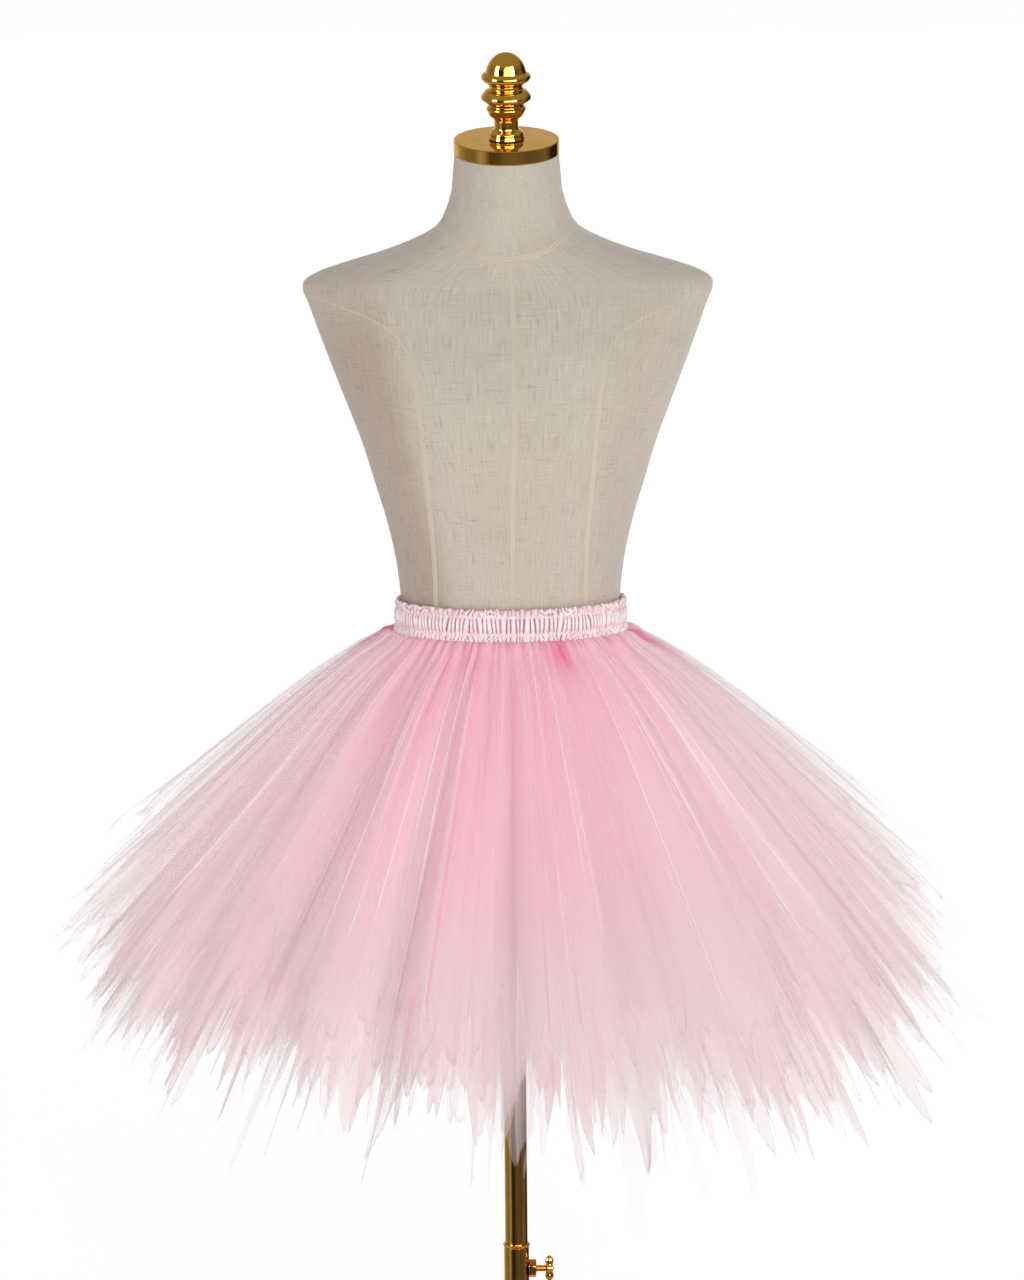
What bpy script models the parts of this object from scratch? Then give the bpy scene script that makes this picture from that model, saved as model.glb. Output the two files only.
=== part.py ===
"""A gathered tulle tutu on a limbless linen dress form with a brass neck cap, finial and sliding pole.

Metres, +Z up, origin on the floor under the pole, front towards -Y. The tutu is built as it is sewn: an elastic
waistband in a gathered satin casing, a short lining with a front and a back panel, and four pointed tulle layers,
each its own wall of cloth.
Every layer hangs from its own ring under the band and follows a slope that flattens towards the waist, so the
outer layers stand out further than the inner ones.
"""

import bmesh
import bpy
import numpy as np
from math import cos, pi, radians, sin
from mathutils import Matrix

MM = 0.001
SEAM_GAP = 0.3 * MM  # between neighbouring pieces

# Waist, on which the band and every layer are drawn
WAIST_HEIGHT = 1.000  # underside of the waistband
WAIST_HALF_WIDTH = 0.1095
WAIST_HALF_DEPTH = 0.0865
DEPTH_FLARE = 0.90  # the skirt spreads a little less to the front and back than to the sides

# Waistband
BAND_COLUMNS = 128  # two to each gather of the casing, so 64 gathers
BAND_CLEAR = 0.5 * MM  # to the form
BAND_SECTION = (  # offset from the form and height above the underside, in mm; gather: how far each gather moves it
    dict(out=0.0, up=0.6, gather=0.0),
    dict(out=0.6, up=33.2, gather=0.0),
    dict(out=4.6, up=33.0, gather=0.7),
    dict(out=5.4, up=28.6, gather=0.6),
    dict(out=4.3, up=25.6, gather=0.2),
    dict(out=6.1, up=22.6, gather=0.7),
    dict(out=6.1, up=11.6, gather=0.7),
    dict(out=5.0, up=8.6, gather=0.2),
    dict(out=6.6, up=5.0, gather=0.6),
    dict(out=7.2, up=0.6, gather=0.5),
)

# Skirt layers, inside to outside. Lengths run down the cloth; slopes are degrees below the horizontal.
LAYER_COLUMNS = 84
LAYERS = (
    dict(name="lining", seat_mm=1.3, collar_mm=7.0, start=52, end=66, length=0.372, tip=0.0,
         folds=11, fold=0.020, wall_mm=1.0, seed=0.4, colour=(0.90, 0.42, 0.52)),
    dict(name="tulle_inner", seat_mm=2.7, collar_mm=5.4, start=40, end=58.5, length=0.385, tip=0.175,
         folds=21, fold=0.034, wall_mm=1.0, seed=1.3, colour=(0.93, 0.55, 0.63)),
    dict(name="tulle_lower", seat_mm=4.1, collar_mm=4.0, start=30, end=51.5, length=0.385, tip=0.165,
         folds=21, fold=0.034, wall_mm=1.0, seed=2.9, colour=(0.94, 0.62, 0.68)),
    dict(name="tulle_upper", seat_mm=5.5, collar_mm=2.6, start=20, end=45, length=0.365, tip=0.135,
         folds=21, fold=0.034, wall_mm=1.0, seed=4.6, colour=(0.95, 0.70, 0.74)),
    dict(name="tulle_veil", seat_mm=6.9, collar_mm=1.2, start=13, end=39, length=0.320, tip=0.095,
         folds=21, fold=0.034, wall_mm=1.0, seed=6.0, colour=(0.97, 0.82, 0.84)),
)
SLOPE_REACH = 0.05  # how far down the cloth the steepening takes
ROW_SPACING = (0.0, 0.03, 0.15, 0.30)  # rows below the collar, before the row at the hem

# Dress form. Heights and half sizes in mm; squareness 2 is an ellipse, lower is pointed, higher is boxy.
FORM_COLUMNS = 40
FORM_SECTIONS = (
    dict(height=860, half_width=134, front=96, back=96, centre=0, squareness=2.1),
    dict(height=866, half_width=139, front=101, back=101, centre=0, squareness=2.1),
    dict(height=900, half_width=136, front=100, back=102, centre=0, squareness=2.1),
    dict(height=950, half_width=122, front=94, back=95, centre=0, squareness=2.0),
    dict(height=992, half_width=109.5, front=86.5, back=86.5, centre=0, squareness=2.0),
    dict(height=1040, half_width=109.5, front=86.5, back=86.5, centre=0, squareness=2.0),
    dict(height=1072, half_width=113.5, front=90, back=86, centre=0, squareness=2.05),
    dict(height=1111, half_width=122, front=98, back=87, centre=0, squareness=2.1),
    dict(height=1151, half_width=134, front=108, back=91, centre=0, squareness=2.2),
    dict(height=1191, half_width=146, front=114, back=94, centre=0, squareness=2.3),
    dict(height=1231, half_width=161, front=112, back=95, centre=0, squareness=2.35),
    dict(height=1270, half_width=176, front=103, back=93, centre=0, squareness=2.3),
    dict(height=1305, half_width=189, front=91, back=88, centre=1, squareness=2.2),
    dict(height=1330, half_width=198, front=82, back=83, centre=2, squareness=2.1),
    dict(height=1343, half_width=203, front=77, back=80, centre=3, squareness=2.0),
    dict(height=1352, half_width=201, front=74, back=77, centre=3, squareness=1.9),
    dict(height=1362, half_width=183, front=71, back=74, centre=3, squareness=1.8),
    dict(height=1372, half_width=152, front=68, back=71, centre=2, squareness=1.75),
    dict(height=1382, half_width=119, front=65, back=68, centre=1, squareness=1.8),
    dict(height=1392, half_width=93, front=62, back=65, centre=0, squareness=1.85),
    dict(height=1404, half_width=71, front=59, back=61, centre=-2, squareness=1.95),
    dict(height=1420, half_width=61, front=56, back=57, centre=-5, squareness=2.0),
    dict(height=1440, half_width=54.5, front=53, back=53, centre=-8, squareness=2.0),
)
NECK_RADIUS = 0.0513
NECK_TILT = radians(11.6)  # the neck's top leans forwards
NECK_TOP = (0.0, -0.0125, 1.4762)  # centre of the neck's cut

# Brass fittings
CAP_RADIUS = 0.052
CAP_THICKNESS = 14 * MM
FINIAL_PROFILE_MM = (  # radius and height above the cap, from the top down
    (0, 86.3), (6, 85.2), (11, 82.4), (15.4, 78), (18.2, 73), (19.5, 68.8), (20.5, 66.5), (23.6, 64.4),
    (24.4, 61.6), (22.6, 58.4), (17.6, 55), (16.4, 52), (17.2, 50), (20.4, 48.2), (24.2, 43.6), (24.4, 40.4),
    (21.4, 37.4), (18.4, 35.8), (17.4, 33.6), (19.2, 31.4), (19.2, 29.6), (16.6, 24), (12.2, 20), (11.7, 16),
    (12, 10.5), (14.6, 8.4), (16.5, 6.2), (16.8, 3.4), (16.5, 0), (0, 0),
)
POLE_RADIUS = 11.5 * MM
POLE_BOTTOM = 0.200
POLE_TOP = 0.8547
TUBE_BORE = 11.8 * MM
TUBE_RADIUS = 12.8 * MM
TUBE_BOTTOM = 0.0243
TUBE_TOP = 0.3660
LIP_RADIUS = 13.9 * MM
LIP_HEIGHT = 3 * MM
SOCKET_RADIUS = 18 * MM
PLATE_RADIUS = 55 * MM
CLAMP_HEIGHT = 0.3425  # of the clamp screw's axis
BOSS_RADIUS = 9.6 * MM
BOSS_END = 20 * MM  # from the pole's axis
SCREW_RADIUS = 3.4 * MM
SCREW_TIP = 11.9 * MM
WING_START, WING_END = 28.8 * MM, 37.8 * MM
WING_REACH = 13.4 * MM  # of each lobe from the screw's axis
BASE_RADIUS = 0.160
BASE_HUB_HEIGHT = 0.024

BRASS = (0.66, 0.46, 0.17)
LINEN = (0.57, 0.50, 0.41)
SATIN = (0.93, 0.72, 0.76)


def clear_scene():
    for thing in list(bpy.data.objects):
        bpy.data.objects.remove(thing, do_unlink=True)


def collection(name):
    made = bpy.data.collections.new(name)
    bpy.context.scene.collection.children.link(made)
    return made


def finish(name, colour, roughness, metallic=0.0):
    """A Principled material in one colour."""
    made = bpy.data.materials.new(name)
    made.use_nodes = True
    shader = made.node_tree.nodes["Principled BSDF"]
    shader.inputs["Base Color"].default_value = (*colour, 1.0)
    shader.inputs["Roughness"].default_value = roughness
    shader.inputs["Metallic"].default_value = metallic
    return made


def add_object(name, mesh, material, smooth_below=40):
    mesh.shade_smooth()
    mesh.set_sharp_from_angle(angle=radians(smooth_below))
    mesh.materials.append(material)
    made = bpy.data.objects.new(name, mesh)
    PARTS.objects.link(made)
    return made


def mesh_of(name, points, faces):
    mesh = bpy.data.meshes.new(name)
    mesh.from_pydata([tuple(p) for p in points], [], faces)
    mesh.update()
    return mesh


def face_outwards(mesh):
    work = bmesh.new()
    work.from_mesh(mesh)
    bmesh.ops.recalc_face_normals(work, faces=work.faces)
    work.to_mesh(mesh)
    work.free()


def grid_faces(rows, columns, closed_rows=False, closed_columns=True):
    """Quads over rows x columns points, joined where asked from the last row or column back to the first."""
    last = rows if closed_rows else rows - 1
    return [
        (
            row * columns + column,
            row * columns + (column + 1) % columns,
            (row + 1) % rows * columns + (column + 1) % columns,
            (row + 1) % rows * columns + column,
        )
        for row in range(last)
        for column in range(columns if closed_columns else columns - 1)
    ]


def turned(name, profile, material, steps=24, matrix=None):
    """A profile of (radius, height) from the top down, spun about Z by a Screw modifier."""
    points = [(radius, 0.0, height) for radius, height in profile]
    mesh = bpy.data.meshes.new(name)
    edges = [(i, i + 1) for i in range(len(points) - 1)]
    if profile[0][0] > 0:
        edges.append((len(points) - 1, 0))
    mesh.from_pydata(points, edges, [])
    made = add_object(name, mesh, material)
    spin = made.modifiers.new("Spin", "SCREW")
    spin.steps = spin.render_steps = steps
    spin.use_merge_vertices = True
    spin.merge_threshold = 0.00001
    spin.use_smooth_shade = True
    if matrix is not None:
        made.matrix_world = matrix
    return made


def cylinder_along_x(name, radius, start, end, height, segments, group, material=None):
    mesh = bpy.data.meshes.new(name)
    work = bmesh.new()
    placed = Matrix.Translation(((start + end) / 2, 0, height)) @ Matrix.Rotation(pi / 2, 4, "Y")
    bmesh.ops.create_cone(
        work, cap_ends=True, segments=segments, radius1=radius, radius2=radius, depth=end - start, matrix=placed
    )
    work.to_mesh(mesh)
    work.free()
    if material:
        mesh.materials.append(material)
    made = bpy.data.objects.new(name, mesh)
    group.objects.link(made)
    return made


def hide(helper):
    helper.hide_render = True
    helper.display_type = "WIRE"
    return helper


def boolean(target, helper, operation):
    step = target.modifiers.new(f"{operation.title()} {helper.name}", "BOOLEAN")
    step.operation = operation
    step.solver = "EXACT"
    step.object = hide(helper)


def ellipse(angle, out):
    """Points of the waist's ellipse, moved out by out."""
    return (WAIST_HALF_WIDTH + out) * np.cos(angle), (WAIST_HALF_DEPTH + out) * np.sin(angle)


def uneven(count, seed):
    """Values between 0 and 1 with no visible repeat, from two sine waves out of step."""
    index = np.arange(count)
    return 0.5 + 0.28 * np.sin(2.4 * index + seed) + 0.22 * np.sin(5.7 * index + 1.7 * seed)


def waistband(material):
    angle = np.linspace(0, 2 * pi, BAND_COLUMNS, endpoint=False)
    gather = np.where(np.arange(BAND_COLUMNS) % 2, -1.0, 1.0)
    rings = []
    for row in BAND_SECTION:
        out = BAND_CLEAR + MM * (row["out"] + row["gather"] * gather)
        x, y = ellipse(angle, out)
        rings.append(np.stack([x, y, np.full_like(x, WAIST_HEIGHT + MM * row["up"])], axis=1))
    mesh = mesh_of("waistband", np.concatenate(rings), grid_faces(len(rings), BAND_COLUMNS, closed_rows=True))
    face_outwards(mesh)
    return add_object("waistband", mesh, material)


def meridian(distance, layer):
    """Spread and drop at each distance down the cloth, and the slope there, for one layer.

    The slope runs from start to end as an exponential, so the layer springs out of its collar and then settles.
    """
    fine = np.linspace(0, distance.max(), 400)
    slope = np.radians(layer["end"] - (layer["end"] - layer["start"]) * np.exp(-fine / SLOPE_REACH))
    step = fine[1] - fine[0]
    spread = np.concatenate([[0], np.cumsum(np.cos(slope[:-1]) * step)])
    drop = np.concatenate([[0], np.cumsum(np.sin(slope[:-1]) * step)])
    return (np.interp(distance, fine, table) for table in (spread, drop, slope))


def hem_lengths(layer, columns):
    """Where the cloth ends at each column: every second column is the point of a long, uneven tip."""
    wild = uneven(columns, layer["seed"])
    if not layer["tip"]:
        return np.full(columns, layer["length"])
    points = layer["length"] + layer["tip"] * (0.3 + 0.7 * wild)
    notches = layer["length"] - 0.02 * wild
    return np.where(np.arange(columns) % 2, points, notches)


def cloth_wall(name, points, layer, closed_columns=True):
    """A grid of points given the layer's thickness, half of it on each side."""
    rows, columns = points.shape[:2]
    faces = grid_faces(rows, columns, closed_columns=closed_columns)
    mesh = mesh_of(name, points.reshape(-1, 3), faces)
    face_outwards(mesh)
    made = add_object(name, mesh, finish(name, layer["colour"], 0.7), smooth_below=60)
    wall = made.modifiers.new("Wall", "SOLIDIFY")
    wall.thickness = MM * layer["wall_mm"]
    wall.offset = 0.0


def panels(points):
    """The back and the front half of a tube, with their side seam edges moved apart.

    Each edge moves in by the whole seam gap, because the walls' edges lean towards each other at a fold.
    """
    half = points.shape[1] // 2
    whole = np.concatenate([points, points[:, :1]], axis=1)
    back, front = whole[:, : half + 1].copy(), whole[:, half:].copy()
    back[:, [0, -1], 1] += SEAM_GAP
    front[:, [0, -1], 1] -= SEAM_GAP
    return dict(back=back, front=front)


def skirt_layer(layer):
    """A tube of cloth: a short upright collar under the band, then rows down the slope, folded in waves.

    A pointed layer is one strip of cloth, and the lining is a front and a back panel with side seams.
    """
    columns = LAYER_COLUMNS if layer["tip"] else LAYER_COLUMNS // 2
    angle = np.linspace(0, 2 * pi, columns, endpoint=False)
    rows = [np.full(columns, s) for s in ROW_SPACING] + [hem_lengths(layer, columns)]
    distance = np.stack(rows)
    spread, drop, slope = meridian(distance, layer)
    sway = 0.10 * np.sin(5 * angle + layer["seed"]) + 0.08 * np.sin(3 * angle - layer["seed"])
    depth = 1 + 0.25 * np.sin(4 * angle + 2 * layer["seed"])
    lift = layer["fold"] * distance * depth * np.cos(layer["folds"] * (angle + sway / layer["folds"]))
    spread, drop = spread + lift * np.sin(slope), drop - lift * np.cos(slope)
    across, along = np.cos(angle), np.sin(angle)
    x, y = ellipse(angle, MM * layer["seat_mm"] + BAND_CLEAR)
    collar_bottom = WAIST_HEIGHT - SEAM_GAP - MM * layer["collar_mm"]
    body = np.stack(
        [x + spread * across, y + DEPTH_FLARE * spread * along, collar_bottom - drop], axis=2
    )
    top = body[:1].copy()
    top[..., 2] = WAIST_HEIGHT - SEAM_GAP
    points = np.concatenate([top, body])
    if layer["tip"]:
        cloth_wall(layer["name"], points, layer)
    else:
        for side, panel in panels(points).items():
            cloth_wall(f"{layer['name']}_{side}", panel, layer, closed_columns=False)


def form_ring(section):
    """One level section of the dress form: a superellipse whose front and back halves differ in depth."""
    angle = np.linspace(0, 2 * pi, FORM_COLUMNS, endpoint=False)
    power = 2 / section["squareness"]
    across = np.sign(np.cos(angle)) * np.abs(np.cos(angle)) ** power
    along = np.sign(np.sin(angle)) * np.abs(np.sin(angle)) ** power
    depth = np.where(along < 0, section["front"], section["back"])
    x = MM * section["half_width"] * across
    y = MM * (section["centre"] + depth * along)
    return np.stack([x, y, np.full_like(x, MM * section["height"])], axis=1)


def neck_ring():
    """The top of the neck: a round section that leans forwards."""
    angle = np.linspace(0, 2 * pi, FORM_COLUMNS, endpoint=False)
    x, y = NECK_RADIUS * np.cos(angle), NECK_RADIUS * np.sin(angle)
    centre = np.array(NECK_TOP)
    return centre + np.stack([x, y * cos(NECK_TILT), y * sin(NECK_TILT)], axis=1)


def dress_form(material):
    rings = [form_ring(section) for section in FORM_SECTIONS] + [neck_ring()]
    faces = grid_faces(len(rings), FORM_COLUMNS)
    first, last = range(FORM_COLUMNS), range((len(rings) - 1) * FORM_COLUMNS, len(rings) * FORM_COLUMNS)
    faces += [tuple(first), tuple(last)]
    mesh = mesh_of("dress_form", np.concatenate(rings), faces)
    face_outwards(mesh)
    return add_object("dress_form", mesh, material)


def neck_fittings(material):
    lean = Matrix.Rotation(NECK_TILT, 4, "X")
    seat = Matrix.Translation(NECK_TOP) @ lean @ Matrix.Translation((0, 0, SEAM_GAP))
    edge = 1.2 * MM
    cap = (
        (0, CAP_THICKNESS), (CAP_RADIUS - edge, CAP_THICKNESS), (CAP_RADIUS, CAP_THICKNESS - edge),
        (CAP_RADIUS, edge), (CAP_RADIUS - edge, 0), (0, 0),
    )
    turned("neck_cap", cap, material, steps=48, matrix=seat)
    on_cap = seat @ Matrix.Translation((0, 0, CAP_THICKNESS + SEAM_GAP))
    turned("finial", [(MM * r, MM * h) for r, h in FINIAL_PROFILE_MM], material, steps=18, matrix=on_cap)


def pole_and_plate(material):
    bottom = MM * FORM_SECTIONS[0]["height"] - SEAM_GAP
    rim = bottom - 8 * MM
    mouth = bottom - 40 * MM
    plate = (
        (0, bottom), (PLATE_RADIUS, bottom), (PLATE_RADIUS, rim), (SOCKET_RADIUS, rim), (SOCKET_RADIUS, mouth),
        (TUBE_BORE, mouth), (TUBE_BORE, POLE_TOP + SEAM_GAP), (0, POLE_TOP + SEAM_GAP),
    )
    turned("hip_plate", plate, material)
    chamfer = 1 * MM
    pole = (
        (0, POLE_TOP), (POLE_RADIUS, POLE_TOP), (POLE_RADIUS, POLE_BOTTOM + chamfer),
        (POLE_RADIUS - chamfer, POLE_BOTTOM), (0, POLE_BOTTOM),
    )
    turned("pole", pole, material)


def stand(material):
    tube = turned(
        "outer_tube",
        ((TUBE_RADIUS, TUBE_TOP), (TUBE_RADIUS, TUBE_BOTTOM), (TUBE_BORE, TUBE_BOTTOM), (TUBE_BORE, TUBE_TOP)),
        material,
    )
    hole = cylinder_along_x("screw_hole", SCREW_RADIUS + SEAM_GAP, 5 * MM, 40 * MM, CLAMP_HEIGHT, 16, CUTTERS)
    boolean(tube, hole, "DIFFERENCE")
    lip_bottom = TUBE_TOP + SEAM_GAP
    lip_top = lip_bottom + LIP_HEIGHT
    turned(
        "tube_lip",
        (
            (LIP_RADIUS - 0.8 * MM, lip_top), (LIP_RADIUS, lip_top - 0.8 * MM), (TUBE_RADIUS, lip_bottom),
            (TUBE_BORE, lip_bottom), (TUBE_BORE, lip_top),
        ),
        material,
    )
    boss = cylinder_along_x(
        "clamp_boss", BOSS_RADIUS, 2 * MM, BOSS_END, CLAMP_HEIGHT, 6, PARTS, material
    )
    around = bpy.data.meshes.new("tube_clearance")
    work = bmesh.new()
    bmesh.ops.create_cone(
        work, cap_ends=True, segments=32, radius1=TUBE_RADIUS + SEAM_GAP, radius2=TUBE_RADIUS + SEAM_GAP,
        depth=60 * MM, matrix=Matrix.Translation((0, 0, CLAMP_HEIGHT)),
    )
    work.to_mesh(around)
    work.free()
    clearance = bpy.data.objects.new("tube_clearance", around)
    CUTTERS.objects.link(clearance)
    boolean(boss, clearance, "DIFFERENCE")
    boolean(boss, hole, "DIFFERENCE")
    rim = 10 * MM
    hub = 35 * MM
    base = (
        (0, BASE_HUB_HEIGHT), (hub - 4 * MM, BASE_HUB_HEIGHT), (hub, BASE_HUB_HEIGHT - 3 * MM),
        (BASE_RADIUS - 12 * MM, rim + 2 * MM), (BASE_RADIUS - 3 * MM, rim), (BASE_RADIUS, rim - 3 * MM),
        (BASE_RADIUS, 0), (0, 0),
    )
    turned("base", base, material, steps=40)


def clamp_screw(material):
    """The clamp screw: a shaft, a round hub and two lobes, fused into one casting."""
    screw = cylinder_along_x(
        "clamp_screw", SCREW_RADIUS, SCREW_TIP, WING_START + 3 * MM, CLAMP_HEIGHT, 16, PARTS, material
    )
    hub = cylinder_along_x("screw_hub", 5 * MM, WING_START, WING_END - 1 * MM, CLAMP_HEIGHT, 16, CUTTERS)
    boolean(screw, hub, "UNION")
    lobe_half = (WING_END - WING_START) / 2
    for side in (-1, 1):
        mesh = bpy.data.meshes.new(f"lobe_{side}")
        work = bmesh.new()
        size = Matrix.Diagonal((lobe_half, 3.2 * MM, 5.6 * MM, 1))
        centre = ((WING_START + WING_END) / 2, 0, CLAMP_HEIGHT + side * (WING_REACH - 5.6 * MM))
        bmesh.ops.create_uvsphere(
            work, u_segments=14, v_segments=8, radius=1.0, matrix=Matrix.Translation(centre) @ size
        )
        work.to_mesh(mesh)
        work.free()
        lobe = bpy.data.objects.new(f"lobe_{side}", mesh)
        CUTTERS.objects.link(lobe)
        boolean(screw, lobe, "UNION")


clear_scene()
PARTS = collection("ballet_tutu_on_dress_form")
CUTTERS = collection("cutters")
brass = finish("polished_brass", BRASS, 0.15, 1.0)
waistband(finish("satin_casing", SATIN, 0.35))
for each_layer in LAYERS:
    skirt_layer(each_layer)
dress_form(finish("linen", LINEN, 0.85))
neck_fittings(brass)
pole_and_plate(brass)
stand(brass)
clamp_screw(brass)
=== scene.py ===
# %% [markdown]
# # A gathered tulle tutu on a linen dress form
#
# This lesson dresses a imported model: its solids, bodies and joints stay as they are, and each solid is
# replaced by a finer surface of the same form. The tutu is a satin waistband over elastic, a short lining,
# and many plies of net that end in long points. It is worn by a limbless form of linen cloth, with a brass
# neck cap, a turned finial and a sliding brass pole.

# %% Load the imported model
import math

import bmesh
import bpy
import numpy as np
from mathutils import Matrix, Vector


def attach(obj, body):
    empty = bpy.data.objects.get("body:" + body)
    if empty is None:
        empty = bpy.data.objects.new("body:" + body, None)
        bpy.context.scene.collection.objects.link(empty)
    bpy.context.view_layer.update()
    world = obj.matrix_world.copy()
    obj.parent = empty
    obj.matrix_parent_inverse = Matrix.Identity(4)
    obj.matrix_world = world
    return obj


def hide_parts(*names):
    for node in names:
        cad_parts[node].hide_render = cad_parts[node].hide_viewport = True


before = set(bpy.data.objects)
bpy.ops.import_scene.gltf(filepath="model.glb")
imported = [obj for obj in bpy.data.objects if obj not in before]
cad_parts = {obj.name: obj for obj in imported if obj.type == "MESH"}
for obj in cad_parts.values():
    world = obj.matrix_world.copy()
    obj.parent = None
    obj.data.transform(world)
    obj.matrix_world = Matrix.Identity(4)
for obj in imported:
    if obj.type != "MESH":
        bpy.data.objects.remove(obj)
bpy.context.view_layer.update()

MM = 0.001
TURN = 2 * math.pi

# %% [markdown]
# ## Surfaces on a grid
#
# Cloth, turned brass and a padded torso can all be described by one point for each pair of numbers: how far
# round, and how far along. A grid of such points becomes a mesh by joining neighbours into quads. Working
# on whole arrays keeps each shape a short formula, where modelling by hand would hide it in thousands of
# corners. Rows run upwards and columns run anticlockwise seen from above, so that the faces look outwards.

# %% Meshes from grids
def grid_mesh(name, points, uv=None, around=True, tube=False, **shades):
    """Joins each point to the next in its row and column. around closes the rows, tube closes the columns.

    uv has one column more than points where the rows are closed; shades are numbers kept at the points for
    the materials to read.
    """
    rows, columns = points.shape[:2]
    row = np.arange(rows if tube else rows - 1)[:, None]
    column = np.arange(columns if around else columns - 1)[None, :]
    up, on = (row + 1) % rows, (column + 1) % columns
    corners = np.stack([row * columns + column, row * columns + on, up * columns + on, up * columns + column],
                       axis=-1).reshape(-1, 4).astype(np.int32)
    mesh = bpy.data.meshes.new(name)
    mesh.vertices.add(rows * columns)
    mesh.vertices.foreach_set("co", points.astype(np.float32).ravel())
    mesh.loops.add(corners.size)
    mesh.loops.foreach_set("vertex_index", corners.ravel())
    mesh.polygons.add(len(corners))
    mesh.polygons.foreach_set("loop_start", np.arange(0, corners.size, 4, dtype=np.int32))
    mesh.update(calc_edges=True)
    if uv is not None:
        above = np.minimum(row + 1, uv.shape[0] - 1)
        beside = np.minimum(column + 1, uv.shape[1] - 1)
        each = np.stack([uv[row, column], uv[row, beside], uv[above, beside], uv[above, column]], axis=2)
        mesh.uv_layers.new(name="cloth").data.foreach_set("uv", each.astype(np.float32).ravel())
    for shade, values in shades.items():
        kept = mesh.attributes.new(shade, "FLOAT", "POINT")
        kept.data.foreach_set("value", np.broadcast_to(values, (rows, columns)).astype(np.float32).ravel())
    return mesh


# %% Placing and joining
def in_scene(name, data):
    """An object made of a mesh, a lens or a lamp, and linked to the scene."""
    made = bpy.data.objects.new(name, data)
    bpy.context.scene.collection.objects.link(made)
    return made


def show(name, mesh, body, material, replaces=(), sharp_above=60):
    """Puts a finished mesh in the scene, riding on its body and standing for its nodes.

    Where two faces meet at more than sharp_above degrees, the edge between them stays sharp.
    """
    made = in_scene(name, mesh)
    mesh.shade_smooth()
    mesh.set_sharp_from_angle(angle=math.radians(sharp_above))
    mesh.materials.append(material)
    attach(made, body)
    if replaces:
        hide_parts(*replaces)
    print(f"{name}: {len(mesh.vertices):,} points, {len(mesh.polygons):,} faces")
    return made


def joined(name, parts):
    """One mesh made of several, which are used up."""
    work = bmesh.new()
    for part in parts:
        work.from_mesh(part)
        bpy.data.meshes.remove(part)
    mesh = bpy.data.meshes.new(name)
    work.to_mesh(mesh)
    work.free()
    return mesh


def closed_poles(mesh):
    """Merges the points that a profile puts on the axis, so that the pole is a fan and not a slit."""
    work = bmesh.new()
    work.from_mesh(mesh)
    bmesh.ops.remove_doubles(work, verts=work.verts, dist=1e-6)
    bmesh.ops.recalc_face_normals(work, faces=work.faces)
    work.to_mesh(mesh)
    work.free()
    return mesh


# %% Angles, lengths and smooth curves
def angles_round(columns):
    """Angles once round, without the last one, which is the first again."""
    return np.linspace(0, TURN, columns, endpoint=False)


def laid_flat(across, along):
    """The UV map of a cloth: metres across for every column, and along for every row."""
    return np.stack(np.broadcast_arrays(across, along), axis=-1)


def lengths_along(path):
    """How far along a path each of its points lies: the distances between neighbours, added up."""
    return np.concatenate([[0], np.cumsum(np.linalg.norm(np.diff(path, axis=0), axis=-1))])


def smooth_between(at, places, values):
    """A cubic between each two rows of a table, with the slope at each row taken from both its neighbours."""
    places, values = np.asarray(places, float), np.asarray(values, float)
    slopes = np.gradient(values, places)
    i = np.clip(np.searchsorted(places, at) - 1, 0, len(places) - 2)
    width = places[i + 1] - places[i]
    t = np.clip((at - places[i]) / width, 0, 1)
    return ((1 + 2 * t) * (1 - t) ** 2 * values[i] + t * (1 - t) ** 2 * width * slopes[i]
            + t ** 2 * (3 - 2 * t) * values[i + 1] + t ** 2 * (t - 1) * width * slopes[i + 1])


def smooth_step(x, low, high):
    """0 below low, 1 above high, and an S-curve between them."""
    t = np.clip((x - low) / (high - low), 0, 1)
    return t * t * (3 - 2 * t)


# %% [markdown]
# ## Materials as arithmetic
#
# A woven or polished finish is mostly sums and products of patterns. Blender keeps such sums as Math nodes.
# Here a small class wraps a socket, so that `1 - mask * 0.5` adds those nodes by itself and the formula can
# be read. Colours are mixed by Mix nodes, because a Math node would turn them grey.

# %% Shader expressions
class Value:
    """A node socket that can be added, multiplied and divided like a number."""

    def __init__(self, tree, socket):
        self.tree, self.socket = tree, socket

    def math(self, operation, *others, clamp=False):
        return add_node(self.tree, "Math", (("operation", operation), ("use_clamp", clamp)),
                        **{str(i): value for i, value in enumerate((self, *others))})

    def __add__(self, other): return self.math("ADD", other)
    def __sub__(self, other): return self.math("SUBTRACT", other)
    def __rsub__(self, other): return (self * -1) + other
    def __mul__(self, other): return self.math("MULTIPLY", other)
    def __truediv__(self, other): return self.math("DIVIDE", other)
    def __pow__(self, other): return self.math("POWER", other)
    def __abs__(self): return self.math("ABSOLUTE")
    __radd__, __rmul__ = __add__, __mul__

    def clamped(self): return self.math("ADD", 0.0, clamp=True)
    def sine(self): return self.math("SINE")
    def fraction(self): return self.math("FRACT")

    def ramp(self, low, high):
        """0 below low and 1 above high, with an S-curve between them."""
        return add_node(self.tree, "MapRange", (("interpolation_type", "SMOOTHSTEP"),),
                        **{"Value": self, "From Min": low, "From Max": high})


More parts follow.
